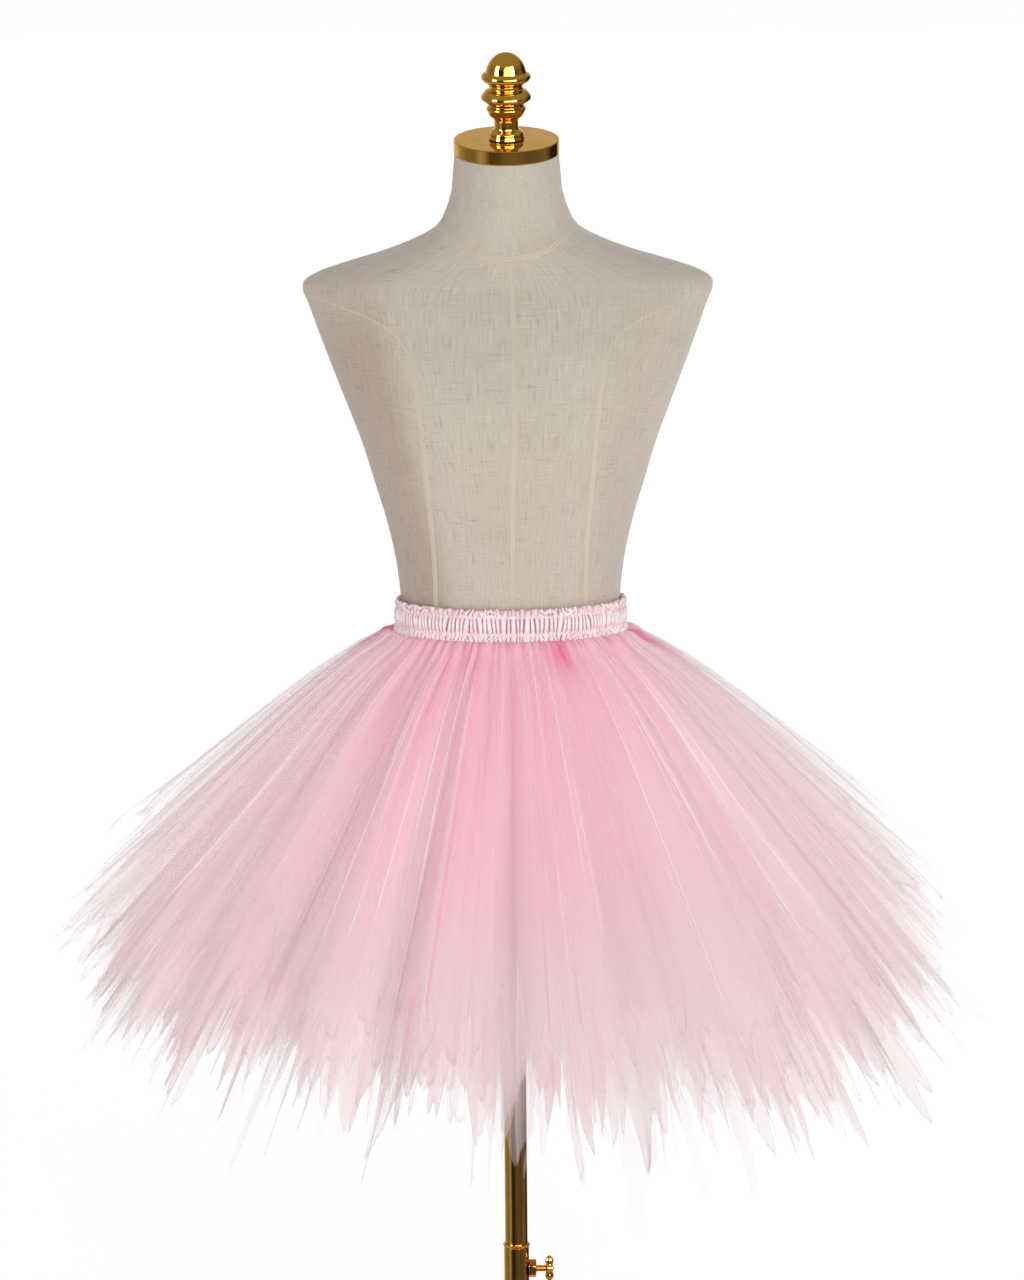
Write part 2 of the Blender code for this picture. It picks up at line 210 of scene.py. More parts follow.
# %% Nodes
def add_node(tree, kind, settings=(), out=0, **inputs):
    """One shader node: its settings first, then a number, colour or expression for each socket.

    Sockets are named or counted, and out is the output that is used. The setting stops fills a colour ramp.
    """
    made = tree.nodes.new("ShaderNode" + kind)
    for name, setting in settings:
        if name == "stops":
            while len(made.color_ramp.elements) < len(setting):
                made.color_ramp.elements.new(0.5)
            for element, (place, colour) in zip(made.color_ramp.elements, setting):
                element.position, element.color = place, (*colour, 1)
        else:
            setattr(made, name, setting)
    for name, value in inputs.items():
        socket = made.inputs[int(name) if name.isdigit() else name]
        if isinstance(value, Value):
            tree.links.new(value.socket, socket)
        else:
            socket.default_value = (*value, 1) if socket.type == "RGBA" and len(value) == 3 else value
    return Value(tree, made.outputs[out])


def mixed(mask, first, second, blend="MIX"):
    """The first colour where the mask is 0, and the second where it is 1.

    The Mix node has sockets for several kinds of data. Its colours go in at 6 and 7 and come out at 2.
    """
    settings = (("data_type", "RGBA"), ("blend_type", blend), ("clamp_factor", True))
    return add_node(mask.tree, "Mix", settings, 2, **{"0": mask, "6": first, "7": second})


# %% A finish and its patterns
def finish(name, roughness=0.5, metallic=0.0, **constants):
    """A material with a Principled shader, and the tree and shader to go on with."""
    made = bpy.data.materials.new(name)
    made.use_nodes = True
    shader = made.node_tree.nodes["Principled BSDF"]
    shader.inputs["Roughness"].default_value = roughness
    shader.inputs["Metallic"].default_value = metallic
    for socket, value in constants.items():
        shader.inputs[socket.replace("_", " ")].default_value = value
    return made, made.node_tree, shader


def feed(shader, **links):
    """Links each expression to the shader's socket of that name."""
    for socket, value in links.items():
        value.tree.links.new(value.socket, shader.inputs[socket.replace("_", " ")])


def noise(place, stretch, detail=3.0, roughness=0.55):
    """Noise on coordinates multiplied by stretch: a large number one way makes fine streaks across it."""
    placed = add_node(place.tree, "VectorMath", (("operation", "MULTIPLY"),), **{"0": place, "1": stretch})
    return add_node(place.tree, "TexNoise", Vector=placed, Scale=1.0, Detail=detail, Roughness=roughness)


def bump(height, depth, strength):
    """A Bump node: height between 0 and 1, depth in metres."""
    return add_node(height.tree, "Bump", Strength=strength, Distance=depth, Height=height)


def object_coordinates(tree):
    return add_node(tree, "TexCoord", out="Object")


def cloth_coordinates(tree):
    """Metres across and along the cloth, from the UV map that grid_mesh makes."""
    return add_node(tree, "UVMap", (("uv_map", "cloth"),))


def parts_of(vector):
    """The x, y and z of a vector, each as an expression."""
    split = add_node(vector.tree, "SeparateXYZ", Vector=vector).socket.node
    return [Value(vector.tree, part) for part in split.outputs]


def attribute(tree, name):
    """The values that grid_mesh kept under that name."""
    return add_node(tree, "Attribute", (("attribute_name", name),), "Fac")


# %% [markdown]
# ## The studio
#
# A garment is usually shot on a pale floor in light from all sides, so that no fold falls into black. The
# camera stands five metres away with a long lens and looks slightly down. Polished brass is a mirror, and
# in an all-white room it would look flat, so what it mirrors is drawn into the sky for glossy rays alone:
# two soft boxes and the dark gaps between the walls. Matt cloth gets a room that is dimmer at both sides
# and overhead, which rounds the form. One broad, low sun, just right of the camera, does the rest.

# %% Camera
WHITE = (1.0, 1.0, 1.0)
FRONT, BACK = -math.pi / 2, math.pi / 2  # the angles that look at the camera and away from it
AIM = Vector((0.001, 0.0, 0.99))
CAMERA_DISTANCE = 5.0
CAMERA_RISE = math.radians(8.5)
CAMERA_ROLL = math.radians(0.52)
lens = bpy.data.cameras.new("camera")
lens.lens = 140.625
lens.sensor_width = 36.0
lens.clip_end = 300.0
camera = in_scene("camera", lens)
away = Vector((0, -math.cos(CAMERA_RISE), math.sin(CAMERA_RISE)))
camera.matrix_world = (Matrix.Translation(AIM + CAMERA_DISTANCE * away)
                       @ (-away).to_track_quat("-Z", "Y").to_matrix().to_4x4()
                       @ Matrix.Rotation(-CAMERA_ROLL, 4, "Z"))
bpy.context.scene.camera = camera
print("camera at", [round(x, 3) for x in camera.matrix_world.translation])

# %% Floor and light
def pale_floor():
    """A large flat sheet of pale board, with a trace of unevenness in its shade."""
    half = 60.0
    line = np.linspace(-half, half, 9)
    points = np.stack([*np.meshgrid(line, line), np.zeros((9, 9))], axis=-1)
    mesh = grid_mesh("floor", points, around=False)
    material, tree, shader = finish("pale_floor", 0.9, Specular_IOR_Level=0.1, Emission_Strength=0.5)
    cloudy = noise(object_coordinates(tree), (0.8, 0.8, 0.8))
    feed(shader, Base_Color=mixed(cloudy, (0.97, 0.97, 0.97), WHITE))
    made = in_scene("floor", mesh)
    mesh.materials.append(material)
    made.visible_glossy = False


def sun(name, azimuth, rise, spread, strength):
    """Even light from one direction: azimuth 0 shines from the camera's side and 90 from its right."""
    lamp = bpy.data.lights.new(name, "SUN")
    lamp.energy, lamp.angle = strength, math.radians(spread)
    made = in_scene(name, lamp)
    a, e = math.radians(azimuth), math.radians(rise)
    towards = Vector((math.sin(a) * math.cos(e), -math.cos(a) * math.cos(e), math.sin(e)))
    made.rotation_euler = (-towards).to_track_quat("-Z", "Y").to_euler()


pale_floor()
sun("key", azimuth=9, rise=12, spread=40, strength=1.40)
print("lamps:", len(bpy.data.lights))

# %% What the brass mirrors
MIRRORED_BANDS = (  # place round the room from behind, left, front, right and behind again; brightness
    (0.00, 0.85), (0.11, 0.75), (0.16, 0.38), (0.22, 0.26), (0.28, 0.22), (0.33, 0.48), (0.36, 0.30),
    (0.39, 0.03), (0.45, 0.03), (0.50, 0.10), (0.56, 0.13), (0.62, 0.10), (0.70, 0.14), (0.77, 0.20),
    (0.82, 0.03), (0.90, 0.02), (0.93, 0.80), (1.00, 0.85),
)
SOFT_BOXES = ((-54, 11), (38, 12))  # middle, from the camera's direction, and half width, in degrees
BOX_FOOT, BOX_TOP, BOX_BLUR = 2, 32, 1.5  # degrees above the horizon
BOX_LIGHT = (12.0, 12.0, 12.0)
CEILING, FLOOR_PART = (0.36, 0.36, 0.22), (0.58, 0.50, 0.40)
ROOM_LIGHT, ROOM_DIM = (0.73, 0.73, 0.73), (0.34, 0.34, 0.34)


def studio_sky():
    """White for the camera, and a grey room for matt surfaces, dimmer to the left, to the right and overhead.

    Mirrors see the bands round the horizon, a dull ceiling above, a warm floor below, and the two soft boxes.
    """
    world = bpy.data.worlds.new("studio")
    bpy.context.scene.world = world
    world.use_nodes = True
    tree = world.node_tree
    background = tree.nodes["Background"]
    x, y, z = parts_of(add_node(tree, "TexCoord", out="Generated"))
    round_room = x.math("ARCTAN2", y * -1) / TURN + 0.5
    rise = z.math("ARCSINE") * (180 / math.pi)
    stops = [(place, (bright, bright, bright)) for place, bright in MIRRORED_BANDS]
    mirrored = add_node(tree, "ValToRGB", (("stops", stops),), Fac=round_room)
    mirrored = mixed(rise.ramp(12, 40), mirrored, CEILING)
    mirrored = mixed((rise * -1).ramp(15, 60), mirrored, FLOOR_PART)
    upright = (rise.ramp(BOX_FOOT - BOX_BLUR, BOX_FOOT + BOX_BLUR)
               * (1 - rise.ramp(BOX_TOP - BOX_BLUR, BOX_TOP + BOX_BLUR)))
    for middle, half in SOFT_BOXES:
        across = 1 - abs(round_room - (0.5 + middle / 360)).ramp(half / 360 * 0.85, half / 360)
        mirrored = mixed(across * upright, mirrored, BOX_LIGHT)
    dim = (x * -1).ramp(-0.3, 0.7) + x.ramp(0.1, 0.9) * 0.68 + z.ramp(0.25, 1.0) * 0.5
    plain = mixed(dim.clamped(), ROOM_LIGHT, ROOM_DIM)
    plain = mixed(add_node(tree, "LightPath", out="Is Camera Ray"), plain, WHITE)
    seen = mixed(add_node(tree, "LightPath", out="Is Glossy Ray"), plain, mirrored)
    tree.links.new(seen.socket, background.inputs["Color"])


studio_sky()
bpy.context.scene.view_settings.view_transform = "Standard"
bpy.context.scene.cycles.transparent_max_bounces = 64
bpy.context.scene.cycles.max_bounces = 6
bpy.context.scene.cycles.diffuse_bounces = 2
print("studio ready")

# %% [markdown]
# ## Linen for the form
#
# A display form is covered in undyed linen. Its yarns are uneven, so short thick slubs run along and across
# the cloth, darker where they lie. The weave itself is about a millimetre wide. The pattern reads a UV map
# in metres, so the slubs keep their size and follow the body round. A painted shade darkens and browns the
# side panels, where the form turns away from the light, most of all on one side, and an attribute of the
# mesh says where it lies.

# %% Linen
LINEN = (0.540, 0.470, 0.392)
LINEN_DARK = (0.380, 0.315, 0.250)
LINEN_PALE = (0.665, 0.600, 0.515)
SEAM_TAPE = (0.595, 0.505, 0.410)
SIDE_PANEL_SHADE_TINT = (0.82, 0.74, 0.71)
THREAD = 1.1 * MM


def linen(name, colour=LINEN, slubs=1.0):
    """Dark slubs and pale threads are mixed over the colour, and two sines multiplied make the weave."""
    made, tree, shader = finish(name, Specular_IOR_Level=0.25, Sheen_Weight=0.4)
    cloth = cloth_coordinates(tree)
    upright = noise(cloth, (620, 42, 1), detail=3.0)
    level = noise(cloth, (50, 640, 1), detail=3.0)
    broad = noise(cloth, (14, 9, 1), detail=2.0)
    patches = noise(cloth, (22, 60, 1), detail=2.0).ramp(0.35, 0.7)
    dark = upright.ramp(0.50, 0.74) * 0.60 + level.ramp(0.52, 0.74) * patches * 0.9
    pale = (1 - upright).ramp(0.52, 0.76) * 0.55 + (1 - level).ramp(0.54, 0.76) * 0.5
    darker = LINEN_DARK if colour is LINEN else LINEN
    shade = mixed((dark * slubs).clamped(), colour, darker)
    shade = mixed((pale * slubs * 0.8).clamped(), shade, LINEN_PALE)
    shade = mixed(broad.ramp(0.3, 0.75) * 0.18, shade, LINEN_DARK)
    # painted shade: the side panels are darkened and browned where the form's sides turn away from the light
    shade = mixed(attribute(tree, "side_panel"), shade, SIDE_PANEL_SHADE_TINT, "MULTIPLY")
    across, along = ((part * (TURN / THREAD)).sine() for part in parts_of(cloth)[:2])
    weave = across * along * 0.25 + 0.5
    height = weave * 0.4 + upright * 0.35 + level * 0.35
    feed(shader, Base_Color=shade, Roughness=0.78 + 0.12 * broad,
         Normal=bump(height, 0.7 * MM, 0.55))
    return made


linen_cloth = linen("linen_cloth")
seam_cloth = linen("seam_cloth", SEAM_TAPE, slubs=0.35)
print("made", linen_cloth.name, "and", seam_cloth.name)

# %% [markdown]
# ## The dress form
#
# The torso is padded and covered, then cut off at the hips, the arms and the neck. Its level sections are
# rounded boxes: superellipses whose front and back differ in depth. A table holds the half width, the
# depths and the squareness at each height, and a smooth curve through the table gives every section
# between.

# %% Sections of the form
FORM_TABLE = np.array([  # height, half width, front, back and centre in mm, squareness
    (860, 134, 96, 96, 0, 2.1), (866, 139, 101, 101, 0, 2.1), (900, 136, 100, 102, 0, 2.1),
    (950, 122, 94, 95, 0, 2.0), (992, 109.5, 86.5, 86.5, 0, 2.0), (1040, 109.5, 86.5, 86.5, 0, 2.0),
    (1072, 113.5, 90, 86, 0, 2.05), (1111, 122, 98, 87, 0, 2.1), (1151, 134, 108, 91, 0, 2.2),
    (1191, 146, 114, 94, 0, 2.3), (1231, 161, 112, 95, 0, 2.35), (1270, 176, 103, 93, 0, 2.3),
    (1305, 189, 91, 88, 1, 2.2), (1330, 198, 82, 83, 2, 2.1), (1343, 203, 77, 80, 3, 2.0),
    (1352, 201, 74, 77, 3, 1.9), (1362, 183, 71, 74, 3, 1.8), (1372, 152, 68, 71, 2, 1.75),
    (1382, 119, 65, 68, 1, 1.8), (1392, 93, 62, 65, 0, 1.85), (1404, 71, 59, 61, -2, 1.95),
    (1420, 61, 56, 57, -5, 2.0), (1440, 54.5, 53, 53, -8, 2.0),
])


def level_section(angle, height_mm):
    """A superellipse: |x / half width| and |y / depth|, both to the power of the squareness, add up to 1."""
    half, front, back, centre, squareness = (
        smooth_between(height_mm, FORM_TABLE[:, 0], FORM_TABLE[:, i]) for i in range(1, 6))
    power = 2 / squareness
    across = np.sign(np.cos(angle)) * np.abs(np.cos(angle)) ** power
    along = np.sign(np.sin(angle)) * np.abs(np.sin(angle)) ** power
    depth = np.where(along < 0, front, back)
    return MM * np.stack([half * across, centre + depth * along, height_mm + 0 * across], axis=-1)


print(len(FORM_TABLE), "sections from", FORM_TABLE[0, 0], "to", FORM_TABLE[-1, 0], "mm")

# %% Points on the form
NECK_RADIUS = 0.0513
NECK_TILT = math.radians(11.6)
NECK_TOP = np.array([0.0, -0.0125, 1.4762])


def form_point(angle, level):
    """The form's surface. level counts rows of the table, and the neck's slanted cut is one level higher."""
    last = len(FORM_TABLE) - 1
    height = np.interp(level, np.arange(last + 1), FORM_TABLE[:, 0])
    torso = level_section(angle, height)
    x, y = NECK_RADIUS * np.cos(angle), NECK_RADIUS * np.sin(angle)
    cut = NECK_TOP + np.stack([x, y * math.cos(NECK_TILT), y * math.sin(NECK_TILT)], axis=-1)
    rise = np.clip(level - last, 0, 1)[..., None]
    return (1 - rise) * torso + rise * cut


def level_at(height_mm):
    """The level whose section lies at that height."""
    return np.interp(height_mm, FORM_TABLE[:, 0], np.arange(len(FORM_TABLE)))


def on_form(angle, level, lift):
    """A point of the form moved out along its normal, which is worked out from two short steps."""
    step = 1e-3
    around = form_point(angle + step, level) - form_point(angle - step, level)
    up = form_point(angle, level + step * 10) - form_point(angle, level - step * 10)
    normal = np.cross(around, up)
    normal /= np.linalg.norm(normal, axis=-1, keepdims=True) + 1e-12
    return form_point(angle, level) + normal * np.asarray(lift)[..., None]


# %% The form's skin
FORM_GIRTH = 0.80


def form_skin():
    """The surface from the underside to the neck, closed by rings that shrink to the middle of both ends."""
    columns, ends, rows_a_level = 288, 4, 8
    levels = np.linspace(0, len(FORM_TABLE), rows_a_level * len(FORM_TABLE) + 1)
    angle = angles_round(columns)
    skin = form_point(angle + 0 * levels[:, None], levels[:, None] + 0 * angle)
    inwards = np.linspace(0, 1, ends)[:, None, None]
    underside = skin[0].mean(axis=0) * (1 - inwards) + skin[0] * inwards
    top = skin[-1].mean(axis=0) * inwards + skin[-1] * (1 - inwards)
    points = np.concatenate([underside[:-1], skin, top[1:]])
    around, length = np.linspace(0, FORM_GIRTH, columns + 1), lengths_along(points[:, columns // 4])
    uv = laid_flat(around, length[:, None])
    # painted shade on the side panels, much stronger on the left; it fades out at their seams and towards the
    # shoulders
    side_panel = smooth_step(np.abs(np.cos(angle)), 0.50, 0.72) * np.where(np.cos(angle) < 0, 1.0, 0.2)
    side_panel = side_panel * smooth_step(points[..., 2], 1.40, 1.27)
    mesh = closed_poles(grid_mesh("linen_form", points, uv, side_panel=side_panel))
    show("linen_form", mesh, "form", linen_cloth, ["dress_form"])


form_skin()

# %% [markdown]
# ## Seams of the form
#
# The cover is cut in panels. Their seams run down the centre front and back, down the sides, over the bust
# and round the base of the neck, and each lies on a tape that shows as a paler, slightly raised line. They
# could be painted, but a thin ribbon laid on the surface catches the light as the real ridge does.

# %% A tape on the form
SEAM_WIDTH = 5.5 * MM
SEAM_PROFILE = (  # share of the width across the tape, lift in mm
    (-0.50, -0.25), (-0.42, 0.30), (-0.30, 0.75), (-0.18, 0.35), (0.10, 0.30), (0.38, 0.25), (0.50, -0.25),
)


def seam_ribbon(angle, level):
    """A strip across the path, as wide as the tape: its profile gives the lift at each share of the width.

    The tape's sideways step in space is solved for the steps in angle and level that make it, so the ribbon
    stays on the form. Towards the shoulder the tape narrows to a plain sewn line.
    """
    share, lift = np.array(SEAM_PROFILE).T
    middle = form_point(angle, level)
    run = np.gradient(middle, axis=0)
    ahead = run / (np.linalg.norm(run, axis=-1, keepdims=True) + 1e-12)
    outward = on_form(angle, level, 1.0) - middle
    side = np.cross(outward, ahead)
    step = 1e-3
    round_way = (form_point(angle + step, level) - middle) / step
    up_way = (form_point(angle, level + step) - middle) / step
    basis = np.stack([round_way, up_way, outward], axis=-1)
    turn, rise, _ = np.moveaxis(np.linalg.solve(basis, side[..., None])[..., 0], -1, 0)
    high_side = smooth_step(middle[:, 2], 1.27, 1.31) * (np.abs(middle[:, 0]) > 0.03)
    narrow = 1 - 0.75 * high_side * (level < level_at(1345))
    offset = share[:, None] * SEAM_WIDTH * narrow
    points = on_form(angle + offset * turn, level + offset * rise, MM * lift[:, None] * narrow)
    return points, laid_flat(offset, lengths_along(middle))


# %% Seams
SEAM_POINTS = 150
SEAM_FOOT, SEAM_SHOULDER, SEAM_THROAT, SEAM_NAPE = 868, 1340, 1372, 1412  # heights in mm
BUST_SEAM = (  # height in mm, degrees from the middle of the front or the back
    (868, 46), (950, 45), (1032, 43), (1110, 38), (1170, 33.5), (1222, 30), (1262, 29), (1290, 30.5),
    (1310, 37), (1324, 49), (1334, 66), (1341, 84),
)
NECK_SEAM = (  # degrees round from the front at -90 to the back at 90, height in mm
    (-90, 1376), (-75, 1379.5), (-60, 1389), (-45, 1397), (-25, 1403), (0, 1408), (45, 1411), (90, 1412),
)


def upright_path(angle, top):
    """A seam that runs straight up the form from its foot."""
    return np.full(SEAM_POINTS, angle), level_at(np.linspace(SEAM_FOOT, top, SEAM_POINTS))


def form_seams():
    """The centre seams, four over the bust and the shoulder blades, one round the neck, and the sides."""
    bust = np.linspace(SEAM_FOOT, SEAM_SHOULDER, SEAM_POINTS)
    away = np.radians(smooth_between(bust, *np.array(BUST_SEAM, float).T))
    turn = np.linspace(-270, 90, 220)
    round_neck = smooth_between(-90 + np.abs(-90 - turn), *np.array(NECK_SEAM, float).T)
    paths = [
        upright_path(FRONT + 0.02, SEAM_THROAT), upright_path(BACK, SEAM_NAPE),
        *((middle + side * away, level_at(bust)) for middle in (FRONT, BACK) for side in (1, -1)),
        (np.radians(turn), level_at(round_neck)),
        upright_path(0.06, SEAM_SHOULDER), upright_path(math.pi - 0.06, SEAM_SHOULDER),
    ]
    highest = len(FORM_TABLE) - 1.01  # just below the neck's slanted cut
    parts = [grid_mesh("seam", *seam_ribbon(angle, np.minimum(level, highest)), around=False)
             for angle, level in paths]
    show("form_seams", joined("form_seams", parts), "form", seam_cloth)


form_seams()

# %% [markdown]
# ## Brass
#
# The fittings are spun and turned, then polished and lacquered. Polishing leaves a very slight unevenness
# of the gloss and hair-fine rings round the axis. A high metallic value with low roughness does the rest.

# %% Polished brass
BRASS, BRASS_DEEP, BRASS_SPECK = (0.78, 0.44, 0.095), (0.70, 0.37, 0.072), (0.35, 0.20, 0.06)
BRASS_EDGE = (0.97, 0.86, 0.68, 1)


def polished_brass():
    """Two near shades mixed by haze, with a few dark specks; the roughness adds up haze and rings."""
    made, tree, shader = finish("polished_brass", metallic=1.0, Specular_Tint=BRASS_EDGE)
    place = object_coordinates(tree)
    hazy = noise(place, (60, 60, 60))
    rings = noise(place, (40, 40, 900), detail=2.0)
    specks = noise(place, (700, 700, 700), detail=1.0).ramp(0.68, 0.8)
    colour = mixed(hazy.ramp(0.35, 0.7), BRASS, BRASS_DEEP)
    feed(shader, Base_Color=mixed(specks * 0.25, colour, BRASS_SPECK),
         Roughness=0.03 + 0.05 * hazy + 0.03 * rings, Normal=bump(rings, 0.03 * MM, 0.25))
    return made


brass = polished_brass()
print("made", brass.name)

# %% [markdown]
# ## Turned parts
#
# A lathe cuts one outline all the way round, so each turned part is a short list of radii and heights. The
# finial's outline is a smooth curve through its points. The other parts keep straight flanks, and their
# corners are broken by small chamfers so that every edge shows a thin bright line.

# %% Lathe
def lathe(name, body, profile, replaces, columns=96, matrix=Matrix(), smooth=0):
    """Each point of the outline, from the bottom up, goes round as (radius cos, radius sin, height).

    smooth is how many rows a smooth curve makes of each stretch between two points of the outline.
    """
    radius, height = np.array(profile, float).T
    if smooth:
        places = np.arange(len(radius))
        at = np.linspace(0, places[-1], smooth * (len(radius) - 1) + 1)
        radius, height = (smooth_between(at, places, values) for values in (radius, height))
        radius = np.maximum(radius, 0)
    angle = angles_round(columns)
    points = np.stack([radius[:, None] * np.cos(angle), radius[:, None] * np.sin(angle),
                       height[:, None] + 0 * angle], axis=-1)
    mesh = closed_poles(grid_mesh(name, points))
    mesh.transform(matrix)
    show(name, mesh, body, brass, replaces, sharp_above=35)


# %% Cap and finial
CAP_RADIUS, CAP_THICKNESS = 0.052, 14 * MM
SEAM_GAP = 0.3 * MM
FINIAL_MM = (  # radius, height
    (0, 0), (16.5, 0), (16.8, 3.4), (16.5, 6.2), (14.6, 8.4), (12, 10.5), (11.7, 16), (12.2, 20), (16.6, 24),
    (19.2, 29.6), (19.2, 31.4), (17.4, 33.6), (18.4, 35.8), (21.4, 37.4), (24.4, 40.4), (24.2, 43.6),
    (20.4, 48.2), (17.2, 50), (16.4, 52), (17.6, 55), (22.6, 58.4), (24.4, 61.6), (23.6, 64.4), (20.5, 66.5),
    (19.5, 68.8), (18.2, 73), (15.4, 78), (11, 82.4), (6, 85.2), (0, 86.3),
)
neck_seat = (Matrix.Translation(NECK_TOP) @ Matrix.Rotation(NECK_TILT, 4, "X")
             @ Matrix.Translation((0, 0, SEAM_GAP)))
on_cap = neck_seat @ Matrix.Translation((0, 0, CAP_THICKNESS + SEAM_GAP))


def chamfered(radius, low, high, chamfer, inner=0.0):
    """The outline of a disc or a rod, or of a ring's wall: straight sides, and a small slope at each rim."""
    return [(inner, low), (radius - chamfer, low), (radius, low + chamfer), (radius, high - chamfer),
            (radius - chamfer, high), (inner, high)]


lathe("brass_neck_cap", "form", chamfered(CAP_RADIUS, 0, CAP_THICKNESS, 0.8 * MM), ["neck_cap"],
      columns=160, matrix=neck_seat)
lathe("brass_finial", "form", [(MM * r, MM * h) for r, h in FINIAL_MM], ["finial"], matrix=on_cap, smooth=6)

# %% Pole, tube and base
POLE_RADIUS, BORE, TUBE_RADIUS = 11.5 * MM, 11.8 * MM, 12.8 * MM
POLE_FOOT, POLE_TOP = 0.200, 0.8547
TUBE_FOOT, TUBE_TOP = 0.0243, 0.3660
LIP = (  # radius, height
    (BORE, 0.3663), (TUBE_RADIUS, 0.3663), (0.0135, 0.3672), (0.0139, 0.3680), (0.0139, 0.3686),
    (0.0133, 0.3693), (BORE, 0.3693), (BORE, 0.3663),
)
HIP_PLATE = (  # radius, height from the underside of the form; the socket's closed end comes before them
    (BORE, -0.040), (0.0172, -0.040), (0.018, -0.0392), (0.018, -0.008), (0.0542, -0.008),
    (0.055, -0.0072), (0.055, 0), (0, 0),
)
FORM_BOTTOM, SOCKET_END = 0.8597, 0.8550
BASE = (  # radius, height
    (0, 0), (0.158, 0), (0.160, 0.002), (0.160, 0.0065), (0.1592, 0.0085), (0.1575, 0.0097), (0.155, 0.0104),
    (0.148, 0.012), (0.1, 0.0155), (0.06, 0.0183), (0.038, 0.0203), (0.0345, 0.0213), (0.033, 0.0228),
    (0.031, 0.024), (0, 0.024),
)
lathe("brass_pole", "form", chamfered(POLE_RADIUS, POLE_FOOT, POLE_TOP, 1 * MM), ["pole"], columns=72)
lathe("brass_hip_plate", "form",
      [(0, SOCKET_END), (BORE, SOCKET_END), *((radius, FORM_BOTTOM + below) for radius, below in HIP_PLATE)],
      ["hip_plate"], columns=72)
lathe("brass_tube", "stand",
      [*chamfered(TUBE_RADIUS, TUBE_FOOT, TUBE_TOP, 0.3 * MM, BORE), (BORE, TUBE_FOOT)],
      ["outer_tube"], columns=72)
lathe("brass_tube_lip", "stand", LIP, ["tube_lip"], columns=72)
lathe("brass_base", "stand", BASE, ["base"], columns=160)

# %% [markdown]
# ## The clamp screw
#
# A brass boss on the tube carries a wing screw that pins the pole at its height. The boss is a short
# hexagon with turned ends. The wing is one casting, thick at its hub and rounded at both tips, so it is a
# loft: flat ovals along its length, narrow at the hub and full at each lobe.

# %% Boss
CLAMP_HEIGHT = 0.3425
BOSS_RADIUS = 9.6 * MM
BOSS = (  # place along X, radius
    (0.0126, 0), (0.0126, 0.0088), (0.0134, 0.0096), (0.0188, 0.0096), (0.0196, 0.0089),
    (0.0200, 0.0080), (0.0200, 0.0038), (0.0180, 0.0038), (0.0180, 0),
)


def rod_along_x(name, sections, columns, sides=0):
    """A rod along X: at each place a circle, or a polygon with that many sides and turned corners."""
    place, radius = np.array(sections, float).T
    angle = angles_round(columns)
    reach = radius[:, None] + 0 * angle
    if sides:
        half_side = math.pi / sides
        flat = math.cos(half_side) / np.cos((angle + half_side) % (2 * half_side) - half_side)
        reach = np.minimum(reach, BOSS_RADIUS * flat)
    return grid_mesh(name, np.stack([place[:, None] + 0 * angle, reach * np.cos(angle),
                                     CLAMP_HEIGHT + reach * np.sin(angle)], axis=-1))


show("brass_boss", closed_poles(rod_along_x("brass_boss", BOSS, columns=96, sides=6)),
     "stand", brass, ["clamp_boss"], sharp_above=30)

# %% Shaft and wings
THREAD_START, THREAD_END, THREAD_PITCH = 0.0119, 0.0300, 0.0009
COLLAR = (  # place along X, radius
    (0.0302, 0.0048), (0.0312, 0.0050), (0.0352, 0.0050), (0.0362, 0.0046), (0.0366, 0.0036), (0.0366, 0),
)
WING_PLACE, WING_REACH = 33.3 * MM, 13.4 * MM


def clamp_wing():
    """Ovals along Z: their thickness along X and Y follows the lobes, widest near both closed tips."""
    share = np.linspace(-1, 1, 49)
    angle = angles_round(32)
    end = np.sqrt(np.clip(1 - np.abs(share) ** 5, 0, 1))
    lobe = np.exp(-((np.abs(share) - 0.62) / 0.28) ** 2)
    thick_x = (3.0 + 1.5 * lobe + 1.4 * np.exp(-(share / 0.2) ** 2)) * MM * end
    thick_y = (2.2 + 1.1 * lobe + 2.9 * np.exp(-(share / 0.25) ** 2)) * MM * end
    x = WING_PLACE + thick_x[:, None] * np.cos(angle)
    y = thick_y[:, None] * np.sin(angle)
    z = CLAMP_HEIGHT + WING_REACH * share[:, None] + 0 * angle
    return grid_mesh("brass_wing", np.stack([x, y, z], axis=-1))


def clamp_screw():
    """The shaft, whose thread is a cosine along it, a collar, and the wing, joined into one mesh."""
    turns = np.linspace(THREAD_START, THREAD_END, 145)
    thread = 0.0032 + 0.0002 * np.cos(TURN * turns / THREAD_PITCH)
    shaft = rod_along_x("shaft", [(THREAD_START, 0), *zip(turns, thread), *COLLAR], columns=40)
    return closed_poles(joined("brass_clamp_screw", [shaft, clamp_wing()]))


show("brass_clamp_screw", clamp_screw(), "clamp", brass, ["clamp_screw"], sharp_above=40)

# %% [markdown]
# ## The waistband
#
# Elastic runs inside a casing of satin half as long again, so the satin stands in fine upright ribs. Two
# rows of stitching hold the elastic, and outside them the edges of the casing ruffle. The band is a closed
# loop of cloth whose outer side is moved in and out by a wave: sharp valleys, round ribs, and each rib a
# little wider, narrower or more slanted than the next.

# %% Satin
SATIN, SATIN_PALE = (0.80, 0.55, 0.595), (0.90, 0.70, 0.73)
SATIN_HIGHLIGHT, SATIN_VALLEY_SHADE = (0.97, 0.88, 0.89), (0.46, 0.20, 0.24)


